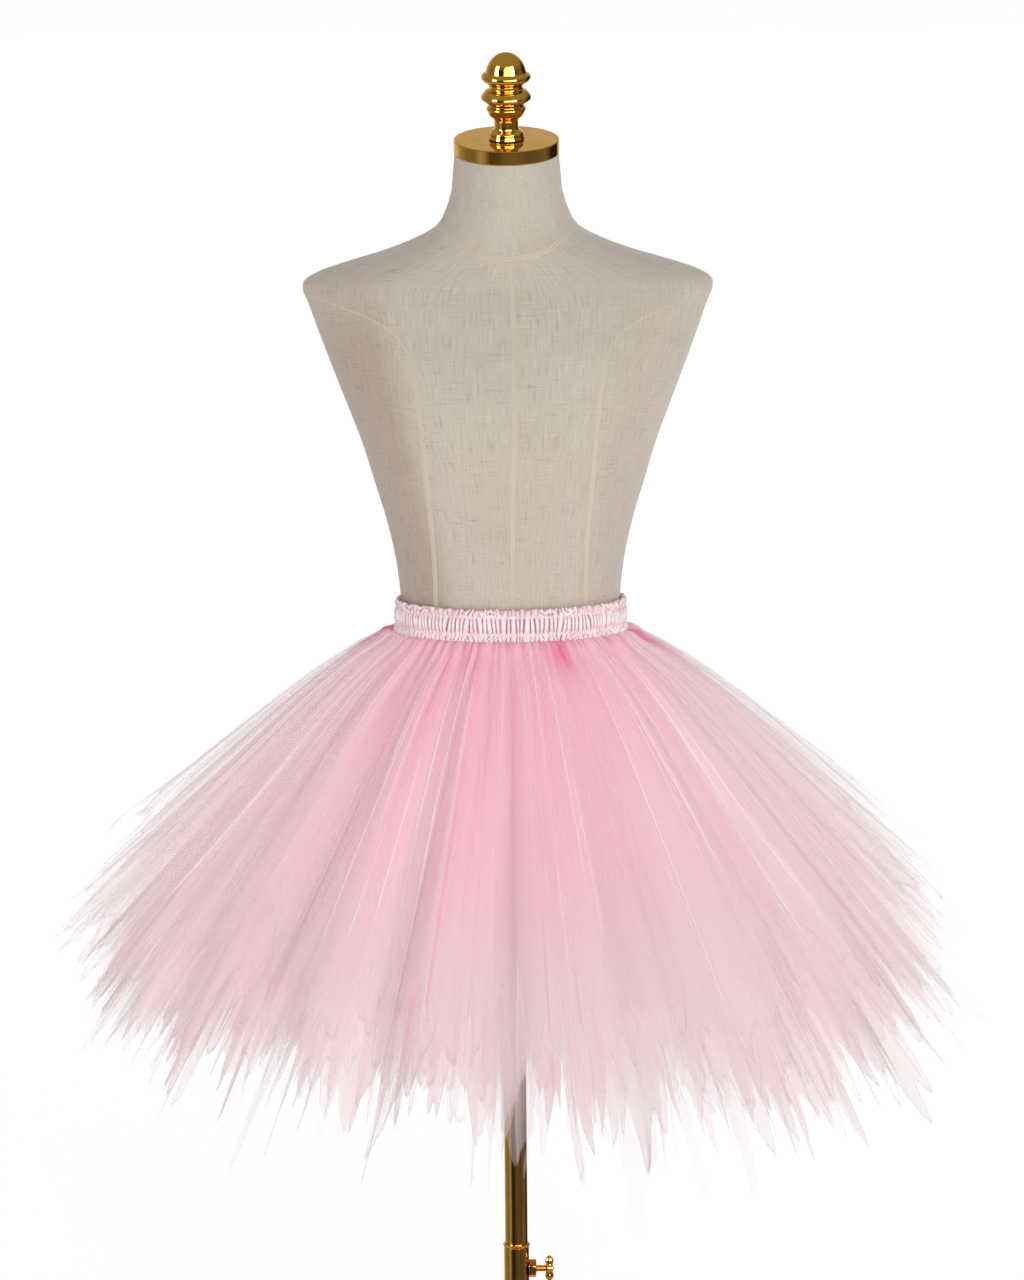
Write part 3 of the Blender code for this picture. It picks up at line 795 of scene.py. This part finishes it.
def satin_cloth():
    """Two near shades mixed by a mottle, a painted highlight on the band's middle, painted shade between
    ribs.
    """
    made, tree, shader = finish("satin_casing", Specular_IOR_Level=0.55, Sheen_Weight=0.15)
    cloth = cloth_coordinates(tree)
    valley = attribute(tree, "valley")
    floats = noise(cloth, (900, 60, 1), detail=2.0)
    mottle = noise(cloth, (90, 45, 1), detail=3.0)
    colour = mixed(mottle.ramp(0.3, 0.7), SATIN, SATIN_PALE)
    # painted highlight where the satin would catch the light: the middle of the band and the crests of the
    # crinkles
    colour = mixed(attribute(tree, "mid_band"), colour, SATIN_HIGHLIGHT)
    # painted shade in the valleys between the ribs and in the crinkles' hollows
    colour = mixed((valley ** 1.2).ramp(0.12, 0.75), colour, SATIN_VALLEY_SHADE)
    feed(shader, Base_Color=colour, Roughness=0.28 + 0.16 * mottle + 0.1 * valley,
         Normal=bump(floats, 0.2 * MM, 0.35))
    return made


satin = satin_cloth()
print("made", satin.name)

# %% Round the waist
WAIST_HEIGHT, WAIST_HALF_WIDTH, WAIST_HALF_DEPTH = 1.000, 0.1095, 0.0865
BAND_CLEAR = 0.5 * MM


def waist_point(angle, out):
    """The waist is an ellipse, and a seam at a distance from it keeps that distance all round."""
    return (WAIST_HALF_WIDTH + out) * np.cos(angle), (WAIST_HALF_DEPTH + out) * np.sin(angle)


def uneven_phase(angle, count, seed, wander=0.35):
    """A phase that turns count times in one round, now faster and now slower by a sum of random waves."""
    dice = np.random.default_rng(seed)
    wave = sum(dice.uniform(0.3, 1) * np.sin(k * angle + dice.uniform(0, TURN)) / 3
               for k in dice.integers(5, count // 2, 14))
    return count * angle + wander * wave * 2.2


print(f"waist {2000 * WAIST_HALF_WIDTH:.0f} x {2000 * WAIST_HALF_DEPTH:.0f} mm")

# %% Ribs and crinkles
RIBS = 152
BAND_MIDDLE, BAND_LOW, BAND_HIGH = 17, 0.4, 34.4  # mm above the underside; curls stay between the last two


def ribs_and_crinkles(angle, rows):
    """A rib's wave is one less the sine of half the phase: round ribs between sharp valleys.

    The ribs lean this way and that, and most of all in the two ruffles above and below the stitching. Returns
    the share from the middle to the edges, the share of ruffle, the phase, the wave, the curls and crinkles.
    """
    from_middle = (rows - BAND_MIDDLE) / BAND_MIDDLE
    ruffle = smooth_step(np.abs(from_middle), 0.45, 0.60)
    lean = 1.6 * np.sin(7 * angle + 0.7) + 1.6 * np.sin(13 * angle) + 1.5 * np.sin(37 * angle + 2)
    swing = 2.2 * np.sin(11 * angle + 1) + 2.0 * np.sin(29 * angle) + 1.2 * np.sin(53 * angle + 1)
    phase = uneven_phase(angle, RIBS, 5, 0.6) + lean * from_middle + ruffle * swing * (0.4 + from_middle)
    wave = 1 - np.abs(np.sin(phase / 2)) ** 0.8
    curl = np.sin(phase / 2 + 2.1 * np.sin(19 * angle)) * np.sin(47 * angle + 2)
    crinkle_phase = 240 * angle + 2.0 * np.sin(31 * angle) + 1.5 * rows * np.sin(9 * angle + 1)
    crinkle = (0.3 + 0.7 * ruffle) * np.sin(crinkle_phase)
    return from_middle, ruffle, phase, wave, curl, crinkle


# %% Gathered casing
COLUMNS_A_RIB, OUTER_ROWS, INNER_ROWS = 9, 34, 6
BAND_PATTERN = 1.25  # metres across that the satin's pattern is drawn over
BAND_OUTSIDE = (  # in mm: height above the underside, offset, depth of the ribs, wander of the edge
    (0.6, 6.4, 1.0, 0.9), (2.0, 6.9, 1.1, 0.7), (5.0, 6.5, 0.9, 0.3), (7.6, 5.3, 0.6, 0.2),
    (8.8, 4.9, 0.35, 0.1), (10.0, 5.5, 0.8, 0.1), (12.5, 6.3, 1.15, 0.0), (17.0, 6.6, 1.2, 0.0),
    (21.5, 6.3, 1.15, 0.0), (24.0, 5.4, 0.8, 0.1), (25.4, 4.5, 0.35, 0.1), (26.8, 5.0, 0.8, 0.3),
    (29.5, 5.3, 1.25, 0.7), (32.0, 4.9, 1.3, 1.0), (33.2, 4.0, 1.0, 1.1),
)


def gathered_casing():
    """The outer side lies at the table's offset, less twice the ribs' depth where their wave is high.

    Curls and crinkles are added to the ruffles, and a plain inner side closes the loop.
    """
    columns = RIBS * COLUMNS_A_RIB
    angle = angles_round(columns)
    up, out, ribs, wander = np.array(BAND_OUTSIDE).T
    rows = np.linspace(up[0], up[-1], OUTER_ROWS)
    out, ribs, wander = (smooth_between(rows, up, values)[:, None] for values in (out, ribs, wander))
    rows = rows[:, None]
    from_middle, ruffle, phase, wave, curl, crinkle = ribs_and_crinkles(angle, rows)
    size = 1 + 0.65 * np.sin(23 * angle + 1) * np.sin(31 * angle)
    moved = out - 2 * ribs * wave * size + 1.3 * wander * curl + 0.4 * crinkle
    height = rows + 1.0 * wander * np.sin(phase * 0.5 + 0.6)
    x, y = waist_point(angle, MM * moved + BAND_CLEAR)
    outside = np.stack([x, y, WAIST_HEIGHT + MM * np.clip(height, BAND_LOW, BAND_HIGH)], axis=-1)
    x, y = waist_point(angle, BAND_CLEAR + 0 * angle)
    down = WAIST_HEIGHT + MM * np.linspace(32.6, 0.8, INNER_ROWS)[:, None]
    inside = np.stack(np.broadcast_arrays(x, y, down), axis=-1)
    points = np.concatenate([outside, inside])
    hidden = np.zeros((INNER_ROWS, columns))
    # where painted shade falls: the valleys between the ribs, and the hollows of the crinkles
    valley = wave * np.minimum(ribs, 1.0) * (1 - 0.45 * ruffle) + 0.45 * np.clip(-crinkle, 0, 1)
    # painted highlight: brightest along the middle of the band, and on the crests of the crinkles
    painted_highlight = np.exp(-(from_middle / 0.30) ** 2) * (0.75 + 0.25 * np.sin(17 * angle))
    painted_highlight = painted_highlight + np.clip(crinkle, 0, 1) ** 1.5
    valley, painted_highlight = (np.concatenate([values, hidden]) for values in (valley, painted_highlight))
    across = np.linspace(0, BAND_PATTERN, columns + 1)
    along = MM * np.concatenate([rows[:, 0], 33.4 + np.linspace(0, 33, INNER_ROWS)])
    uv = laid_flat(across, along[:, None])
    mesh = grid_mesh("satin_waistband", points, uv, tube=True, valley=valley, mid_band=painted_highlight)
    return show("satin_waistband", mesh, "form", satin, ["waistband"], sharp_above=180)


band = gathered_casing()

# %% [markdown]
# ## How the skirt hangs
#
# Net is gathered into a narrow seam under the band and springs out. Near the seam it stands almost level,
# and its weight bends it down within a few centimetres. So the slope of each layer runs from a start value
# to an end value as a falling exponential, and adding up the cosine and the sine of that slope gives how
# far the cloth has spread and how far it has dropped. Folds are then added at right angles to that curve.

# %% Slope of each layer
LAYER_TABLE = (  # seat outside the waist and top over it in mm, first and last slope in degrees, length in m,
    # length of the tips in m, number of large folds, their depth as a share of the distance, seed
    ("lining", 1.3, -7.3, 52, 66, 0.372, 0.0, 11, 0.020, 0.4),
    ("tulle_inner", 2.7, 1.2, 40, 58.5, 0.385, 0.175, 21, 0.034, 1.3),
    ("tulle_lower", 4.1, 1.2, 30, 51.5, 0.385, 0.165, 21, 0.034, 2.9),
    ("tulle_upper", 5.5, 1.2, 20, 45, 0.365, 0.135, 21, 0.034, 4.6),
    ("tulle_veil", 6.9, 1.2, 13, 39, 0.320, 0.095, 21, 0.034, 6.0),
)
MEASURES = ("seat", "top", "start", "end", "length", "tip", "folds", "fold", "seed")
LAYERS = {name: dict(zip(MEASURES, numbers)) for name, *numbers in LAYER_TABLE}
SLOPE_REACH = 0.05  # metres in which most of the bend happens


def meridian(distance, start, end, lowered=0.0):
    """Spread, drop and slope at each distance down the cloth, with the whole curve turned down by lowered."""
    fine = np.linspace(0, distance.max(), 400)
    slope = np.radians(end - (end - start) * np.exp(-fine / SLOPE_REACH))
    step = fine[1] - fine[0]
    spread, drop = (np.interp(distance, fine, np.concatenate([[0], np.cumsum(part(slope[:-1]) * step)]))
                    for part in (np.cos, np.sin))
    turned = np.radians(lowered)
    c, s = np.cos(turned), np.sin(turned)
    return spread * c - drop * s, drop * c + spread * s, np.interp(distance, fine, slope) + turned


print("layers:", ", ".join(LAYERS))

# %% Cloth on that slope
DEPTH_FLARE = 0.90  # the skirt spreads this much to the front and back for one to the sides


def hung_cloth(layer, angle, distance, lift, seat=0.0, lean=0.0, steeper=0.0):
    """Points of a layer: out from the waist by the spread, down by the drop, and lifted off that curve.

    The large folds of the layer are part of the lift; lean shifts a point sideways, as an angle.
    """
    spread, drop, slope = meridian(distance, layer["start"], layer["end"], steeper)
    seed, folds = layer["seed"], layer["folds"]
    sway = 0.10 * np.sin(5 * angle + seed) + 0.08 * np.sin(3 * angle - seed)
    depth = 1 + 0.25 * np.sin(4 * angle + 2 * seed)
    lift = lift + layer["fold"] * distance * depth * np.cos(folds * (angle + sway / folds))
    spread, drop = spread + lift * np.sin(slope), drop - lift * np.cos(slope)
    x, y = waist_point(angle, MM * (layer["seat"] + seat) + BAND_CLEAR)
    turned = angle + lean
    return np.stack([x + spread * np.cos(turned), y + DEPTH_FLARE * spread * np.sin(turned),
                     WAIST_HEIGHT + MM * layer["top"] - drop], axis=-1)


# %% [markdown]
# ## The lining
#
# Under the net hangs a plain skirt of thin pink satin, gathered into the same seam and hemmed straight. It
# keeps the net off the legs and gives the middle of the skirt its strong colour. Its two panels meet in
# side seams. It is one sheet given a wall by Solidify.

# %% Satin of the lining
LINING, LINING_PALE, LINING_STITCH = (0.95, 0.50, 0.58), (0.97, 0.57, 0.64), (0.80, 0.36, 0.47)


def lining_cloth():
    """Two near shades mixed by a broad noise, darker on the stitched lines, with fine threads as a bump."""
    made, tree, shader = finish("pink_lining", Specular_IOR_Level=0.35, Sheen_Weight=0.2)
    cloth = cloth_coordinates(tree)
    threads = noise(cloth, (1500, 200, 1), detail=2.0)
    broad = noise(cloth, (16, 4, 1), detail=2.0)
    colour = mixed(broad.ramp(0.3, 0.7), LINING, LINING_PALE)
    colour = mixed(attribute(tree, "stitched") * 0.5, colour, LINING_STITCH)
    feed(shader, Base_Color=colour, Roughness=0.48 + 0.2 * broad,
         Normal=bump(threads, 0.2 * MM, 0.3))
    return made


# %% Lining
LINING_WIDTH = 2.0


def lining_skirt():
    """Hung cloth, with small gathers that die out below the seam and swells that grow downwards."""
    columns, rows = 528, 40
    angle = angles_round(columns)
    share = np.linspace(1, 0, rows)[:, None]
    layer = LAYERS["lining"]
    distance = layer["length"] * share ** 1.2 + 0 * angle
    gathers = np.exp(-distance / 0.09) * smooth_step(distance, 0, 0.01)
    gathers = 1.1 * MM * np.cos(uneven_phase(angle, 88, 11)) * gathers
    swells = 0.006 * distance / 0.37 * np.sin(33 * angle + 2 * np.sin(5 * angle))
    points = hung_cloth(layer, angle, distance, gathers + swells)
    hem_line = np.maximum(1 - np.abs(layer["length"] - distance - 0.012) / 0.0012, 0)
    side_seams = np.maximum(1 - np.abs(np.sin(angle)) / 0.006, 0)
    uv = laid_flat(np.linspace(0, LINING_WIDTH, columns + 1), distance[:, :1])
    mesh = grid_mesh("lining_skirt", points, uv, stitched=np.clip(hem_line + side_seams, 0, 1))
    made = show("lining_skirt", mesh, "form", lining_cloth(),
                ["lining_front", "lining_back"], sharp_above=180)
    wall = made.modifiers.new("wall", "SOLIDIFY")
    wall.thickness, wall.offset = 0.4 * MM, 0.0
    return made


lining = lining_skirt()

# %% [markdown]
# ## Net
#
# Tulle is a net of fine threads, mostly holes, so one ply tints what lies behind it and many plies make a
# solid colour. Each ply is therefore one open sheet with a low alpha. The alpha rises at the seam, where
# the gathers crowd the threads, and on creases, where the net lies double. Creases run down the cloth at
# uneven distances: a number that grows round the skirt, plus a slow noise, is cut to its fraction, and a
# crease is where that fraction passes one half.
#
# The hem is cut into points, and the points into thin strips. The points are in the mesh. The strips could
# be modelled too, but with thousands of them it would take many times the triangles. Here the alpha cuts
# them: near the hem the cloth is left only where a noise, drawn out down the cloth, is high enough, and the
# limit rises towards the end, so every strip runs out in a thin tip.

# %% Creases in the net
def creases(cloth, far):
    """Lines down the cloth at uneven distances, narrower lower down, and a painted shade beside each of them.

    Both fade in and out with a noise, and more of them show at the hem.
    """
    place = (parts_of(cloth)[0] * 24
             + noise(cloth, (6, 0.15, 1), detail=0.0) * 2.6).fraction() * 2 - 1
    sharp = 7 + 18 * far
    pressed = (noise(cloth, (13, 2.5, 1), detail=0.0) + far.ramp(0.75, 1.0) * 0.1).ramp(0.46, 0.65)
    return (1 - abs(place) * sharp).clamped() * pressed, (1 - abs(place * sharp - 1.5)).clamped() * pressed


# %% Tulle
RIM_SHADE = (0.60, 0.47, 0.49)
GATHER_PINK_AND_SHADE = (0.90, 0.17, 0.34)
PAINTED_CREASE_SHADE = (0.66, 0.52, 0.54)
EDGE_ON_PAINTED_SHADE = (0.84, 0.78, 0.78)


def tulle(name, near_waist, body_colour, shaded_tip_colour, line_colour, cover, line_cover):
    """cover is the alpha of flat net, and line_cover what folds, creases, gathers and cut edges add to it.

    alpha = cover x weight x crowding x streaks + lines x line_cover, where the hem's strips are left, and a
    little less towards their tips. The colour runs down the cloth from near_waist to shaded_tip_colour, which
    is greyed by painted shade, and painted shade greys creases, folds and both sides.
    """
    made, tree, shader = finish(name, roughness=0.8, Specular_IOR_Level=0.15)
    side, far = attribute(tree, "fold_side"), attribute(tree, "far_down")
    weight, above = attribute(tree, "net_weight"), attribute(tree, "above_hem")
    turned_away = 1 - attribute(tree, "faces_front")
    cloth = cloth_coordinates(tree)
    fine = noise(cloth, (170, 0.15, 1), detail=0.0).ramp(0.30, 0.70)
    broad = noise(cloth, (9, 0.3, 1), detail=0.0)
    crease, shaded = creases(cloth, far)
    # the hem is cut into strips: the nearer to its end, the less of the cloth is left
    strips = noise(cloth, (74, 1.8, 1), detail=1.5, roughness=0.45).ramp(0.24, 0.80)
    left = above * 2.0 + (strips ** 1.6) * 1.9 - 1.28
    rim = (1 - abs(left - 0.08) * 9).clamped() * broad.ramp(0.35, 0.60) * (1 - above.ramp(0.35, 0.60))
    # the net is thickest in the gathers of the seam, and lies in streaks there
    tuck = attribute(tree, "tucked_in") * 0.8 + broad.ramp(0.60, 0.68) * (1 - far.ramp(0.02, 0.13))
    lines = (side ** 4.0) * 0.24 + rim * 0.8 + crease + shaded * 0.7 + tuck * 0.5
    crowded = 3.0 - 1.4 * far.ramp(0.0, 0.03) - 0.6 * far.ramp(0.03, 0.12) + 0.3 * far.ramp(0.5, 0.7)
    uneven = 1.0 - far.ramp(0.02, 0.22)
    streaks = (0.83 - 0.44 * uneven + fine * (0.06 + 0.32 * uneven)
               + broad.ramp(0.36, 0.64) * (0.32 + 0.60 * uneven))
    alpha = (cover * weight * crowded * streaks + lines * line_cover).clamped() * left.ramp(0.0, 0.14)
    alpha = alpha * (above.ramp(0.0, 0.7) * 0.36 + 0.64)
    # the colour pales down the cloth and greys towards the tips with painted shade. Towards both sides, where
    # the plies are seen edge on, it pales and takes a painted grey shade for the light falling off there
    pale = (far.ramp(0.0, 0.4) * 0.8 + turned_away * 0.5).clamped()
    edge_on, low_down = turned_away.ramp(0.55, 1.0), far.ramp(0.60, 0.85)
    colour = mixed(pale, near_waist, body_colour)
    # painted shade: the tips take a greyer, darker colour, as if the net there lay in shade
    colour = mixed(far.ramp(0.35, 0.85), colour, shaded_tip_colour)
    colour = mixed(edge_on * 0.34, colour, EDGE_ON_PAINTED_SHADE)
    # painted shade: creases turn grey low down and towards both sides, and the sides of folds take that grey
    # too
    line_shade = mixed((low_down + turned_away.ramp(0.70, 1.0) * 0.45).clamped(), line_colour, PAINTED_CREASE_SHADE)
    colour = mixed(((side ** 3.0) * (0.4 - 0.25 * edge_on) + crease).clamped(), colour, line_shade)
    # painted shade beside each crease: deep pink near the waist, grey low down
    colour = mixed(shaded * 0.8, colour, mixed(low_down, near_waist, PAINTED_CREASE_SHADE))
    # deep pink in the gathers of the seam: crowded net, and a painted shade in the hollows where the net is
    # tucked in
    colour = mixed(tuck.clamped(), colour, GATHER_PINK_AND_SHADE)
    colour = mixed(rim, colour, RIM_SHADE)
    feed(shader, Base_Color=colour, Alpha=alpha)
    return made


NET_TABLE = (  # colour near the waist, further down, at the tips with painted shade, and on creases; cover of net and lines
    ("inner", (0.96, 0.31, 0.46), (0.94, 0.51, 0.59), (0.84, 0.64, 0.67), (0.92, 0.34, 0.46), 0.60, 0.45),
    ("lower", (0.96, 0.38, 0.51), (0.94, 0.53, 0.60), (0.84, 0.66, 0.69), (0.93, 0.38, 0.50), 0.36, 0.50),
    ("upper", (0.96, 0.51, 0.62), (0.93, 0.61, 0.68), (0.84, 0.71, 0.73), (0.98, 0.85, 0.89), 0.21, 0.52),
    ("veil", (0.96, 0.60, 0.69), (0.91, 0.75, 0.78), (0.81, 0.74, 0.76), (0.94, 0.87, 0.89), 0.085, 0.62),
)
TULLES = {kind: tulle(f"tulle_{kind}_net", *net) for kind, *net in NET_TABLE}
print("net:", ", ".join(TULLES))

# %% [markdown]
# ## Pointed plies
#
# Each layer is several plies of net, cut along the hem into long narrow points and gathered tightly. Cloth
# that is pushed together bends into a meander: along the round it runs forwards, stops and runs back over
# itself, and the ridges lean to one side or the other. The sideways part of a meander is a sine of twice
# the phase and its height a cosine of the phase, which is the formula used here, with every fold its own
# width, depth and lean. All plies share one seam, so the small gathers in it are the same for all of them.
# Where a meander runs back over itself the points of the hem cross, which is what makes it look ragged.

# %% The cut of a hem
LONGEST_AT = math.radians(295)  # worn skirts never hang level: this side, and the one across, are the lowest
POINTS_A_FOLD = 3


def round_the_skirt(values, number):
    """A value for every fold, blended smoothly from each fold to the next."""
    looped = np.concatenate([values, values[:1]])
    place = number % len(values)
    i = np.floor(place).astype(int)
    t = smooth_step(place - i, 0, 1)
    return looped[i] * (1 - t) + looped[i + 1] * t


def cut_line(layer, dice, folds, number, angle, length_share, tip_share):
    """Where the points of the hem begin, and how far down they reach, at each column.

    The points begin on a nearly level line. Under it the hem waves by a random length for each point, and a
    straight-sided tent of the same length is added to the wave.
    """
    sag = 0.050 * np.cos(2 * (angle - LONGEST_AT)) + 0.085 * np.cos(angle) ** 2 - 0.03
    wave = round_the_skirt(dice.uniform(-0.10, 0.05, folds), number)
    base = layer["length"] * length_share * (1 + sag + wave)
    lengths = 0.35 + 0.65 * dice.random(POINTS_A_FOLD * folds) ** 1.5
    point = POINTS_A_FOLD * number
    tent = 1 - np.abs(2 * (point % 1) - 1)
    reach = 0.62 * round_the_skirt(lengths, point) + 0.55 * tent * lengths[np.floor(point).astype(int)]
    return base, base + reach * tip_share * layer["tip"] * (0.7 + 0.3 * np.sin(angle) ** 2)


# %% Folds, gathers and swells
def meander(dice, folds, number, width, distance, spread):
    """The lift is -depth x (1 + cos phase), and the slide is back x sin(2 phase) + lean x cos phase.

    A few folds are deep and lean over, and most are shallow. The lift grows with the spread of the skirt, and
    both start from nothing at the seam. Returns the lift, the slide as an angle, and the depth.
    """
    deep = 0.22 + 0.62 * dice.random(folds) ** 3
    depth = round_the_skirt(deep, number)
    back = round_the_skirt(0.15 + 0.5 * deep, number)
    lean = round_the_skirt(dice.uniform(-0.8, 0.8, folds) * deep, number)
    phase = TURN * number
    grip = smooth_step(distance, 0.0, 0.03)
    settle = 1 - 0.3 * smooth_step(distance, 0.05, 0.40)
    lift = -spread * width / TURN * 1.6 * depth * settle * grip * (1 + np.cos(phase))
    slide = width / TURN * grip * (back * np.sin(2 * phase) + lean * np.cos(phase) * settle)
    return lift, slide, depth


def gathers_and_swells(dice, angle, distance):
    """Small gathers and a puff that die out below the seam, and a sum of five soft waves further down.

    Returns the lift, and how deep each point is tucked into the gathers.
    """
    phase = uneven_phase(angle, 78, 9, 0.9)
    gathers = np.cos(phase) * np.exp(-distance / 0.06) * smooth_step(distance, 0, 0.006)
    puff = 3.2 * MM * np.exp(-((distance - 0.009) / 0.007) ** 2)
    swell = sum(dice.uniform(0.3, 1) * np.sin(dice.integers(9, 34) * angle + dice.uniform(4, 14) * distance
                                              + dice.uniform(0, TURN)) for _ in range(5))
    lift = 1.6 * MM * gathers + puff + 1.6 * MM * swell * smooth_step(distance, 0.05, 0.3)
    return lift, (0.5 - 0.5 * np.cos(phase)) ** 2 * np.exp(-distance / 0.018)


def fold_sides(points, angle, end):
    """0 where the cloth runs round the skirt, and 1 where it runs in or out, on the side of a fold.

    It is the share of the step between a point's neighbours that lies along the normal of the unfolded layer.
    """
    along = np.roll(points, -1, axis=1) - np.roll(points, 1, axis=1)
    slope = math.radians(end)
    outward = np.stack([np.cos(angle) * math.sin(slope), np.sin(angle) * math.sin(slope),
                        np.full(len(angle), math.cos(slope))], axis=-1)
    return np.abs((along * outward).sum(axis=-1)) / (np.linalg.norm(along, axis=-1) + 1e-9)


def net_weight(dice, folds, number, angle, distance, above_hem, frays):
    """How densely the net covers: uneven from fold to fold, less at the frayed hem, more before the pole."""
    weight = round_the_skirt(dice.uniform(0.55, 1.25, folds), number)
    weight = weight * (0.85 + 0.3 * smooth_step(distance, 0.3, 0))
    weight = weight * (1 - frays * smooth_step(above_hem, 0.5, 0.0))
    before_pole = np.exp(-((angle - FRONT - TURN) / 0.07) ** 2)
    return weight * (1 + 0.7 * before_pole * smooth_step(above_hem, 0.35, 0.9))


# %% A ply of net
PLIES = (  # layer, ply, folds, seat in mm, steeper in degrees, share of the length and of the tips
    ("inner", "a", 40, -0.4, 2.5, 1.28, 0.70), ("inner", "b", 46, 0.4, -1.5, 1.20, 0.80),
    ("lower", "a", 42, -0.4, 2.5, 1.27, 0.70), ("lower", "b", 48, 0.0, 0.0, 1.20, 0.80),
    ("lower", "c", 38, 0.4, -2.5, 1.10, 0.95), ("upper", "a", 44, -0.4, 2.2, 1.20, 0.75),
    ("upper", "b", 40, 0.0, 0.0, 1.10, 0.95), ("upper", "c", 48, 0.4, -1.5, 1.08, 0.85),
    ("veil", "a", 36, -0.4, 2.5, 1.06, 0.80), ("veil", "b", 42, 0.0, 1.0, 0.98, 1.00),
    ("veil", "c", 38, 0.4, 0.0, 1.04, 0.75),
)
FIRST_SEED = 21
HEMS = {  # at the front and back: longer by this share, and steeper by these degrees; share that frays away
    "inner": (-0.02, 0.0, 0.1), "lower": (0.03, 2.0, 0.2),
    "upper": (0.16, 9.0, 0.4), "veil": (0.32, 15.0, 0.5),
}
COLUMNS_A_FOLD = 6 * POINTS_A_FOLD
PLY_ROWS = 36
STRIP_LENGTH = 0.16
CASTS_SHADOW = "net_inner_a"  # light seeps through the others
CRUSHED = 1.15  # the finest gathers at the seam hold this much more cloth than the folds that are modelled


def grid_area(points):
    """The area of a closed ring of cloth: half the cross product of the diagonals of every quad."""
    one = points[1:] - np.roll(points[:-1], -1, axis=1)
    other = np.roll(points[1:], -1, axis=1) - points[:-1]
    return 0.5 * np.linalg.norm(np.cross(one, other), axis=-1).sum()


def pointed_ply(seed, kind, ply, folds, seat, steeper, length_share, tip_share):
    """One ply, from the seam down to its cut line: the meander, the gathers and swells, and a curled hem.

    They are all added up as one lift and one slide, and hung on the curve of the layer.
    """
    name, node = f"net_{kind}_{ply}", f"tulle_{kind}"
    layer, (longer, lower, frays) = LAYERS[node], HEMS[kind]
    dice = np.random.default_rng(seed)
    number = np.arange(folds * COLUMNS_A_FOLD) / COLUMNS_A_FOLD
    widths = dice.uniform(0.55, 1.45, folds)
    widths *= TURN / widths.sum()
    width = widths[np.floor(number).astype(int)]
    angle = np.interp(number, np.arange(folds + 1), np.concatenate([[0], np.cumsum(widths)]))
    facing = np.sin(angle) ** 2
    base, cut = cut_line(layer, dice, folds, number, angle, length_share * (1 + longer * facing), tip_share)
    distance = cut * np.linspace(1, 0, PLY_ROWS)[:, None] ** 1.25
    spread = distance * math.cos(math.radians(layer["end"])) + 0.11
    lift, slide, depth = meander(dice, folds, number, width, distance, spread)
    finer_lift, tucked = gathers_and_swells(dice, angle, distance)
    # the strips of the hem curl sideways and outwards, more and more beyond the line where they begin
    beyond = np.clip((distance - base) / 0.12, 0, 1.3)
    curl, flop = (round_the_skirt(dice.uniform(-1, 1, 2 * folds), 2 * number + shift) for shift in (0, 0.5))
    slide = slide + 0.038 * curl * beyond ** 2 / spread
    lift = lift + finer_lift + 0.016 * (flop - 0.3) * beyond ** 2
    points = hung_cloth(layer, angle, distance, lift, seat, slide, steeper + lower * facing)
    # what the material reads
    above_hem = np.clip((cut - distance) / STRIP_LENGTH, 0, 1)
    side = fold_sides(points, angle, layer["end"]) * smooth_step(depth, 0.25, 0.8)
    weight = net_weight(dice, folds, number, angle, distance, above_hem, frays)
    # the cut of the ply, from its area
    cut_area = CRUSHED * grid_area(points)
    flat_width = cut_area / cut.mean()
    across = flat_width * (seed + np.append(number, folds) / folds)
    uv = laid_flat(across, np.append(distance, distance[:, :1], axis=1))
    mesh = grid_mesh(name, points, uv, fold_side=side, above_hem=above_hem, far_down=distance / cut.max(),
                     net_weight=weight, faces_front=facing + 0 * distance, tucked_in=tucked)
    made = show(name, mesh, "form", TULLES[kind],
                [node] if ply == "a" else (), sharp_above=180)
    made.visible_shadow = made.visible_diffuse = name == CASTS_SHADOW
    print(f"  flat {flat_width:.2f} x {cut.max():.3f} m, {cut_area:.2f} square metres once the hem is cut")


for place, ply in enumerate(PLIES):
    pointed_ply(FIRST_SEED + place, *ply)
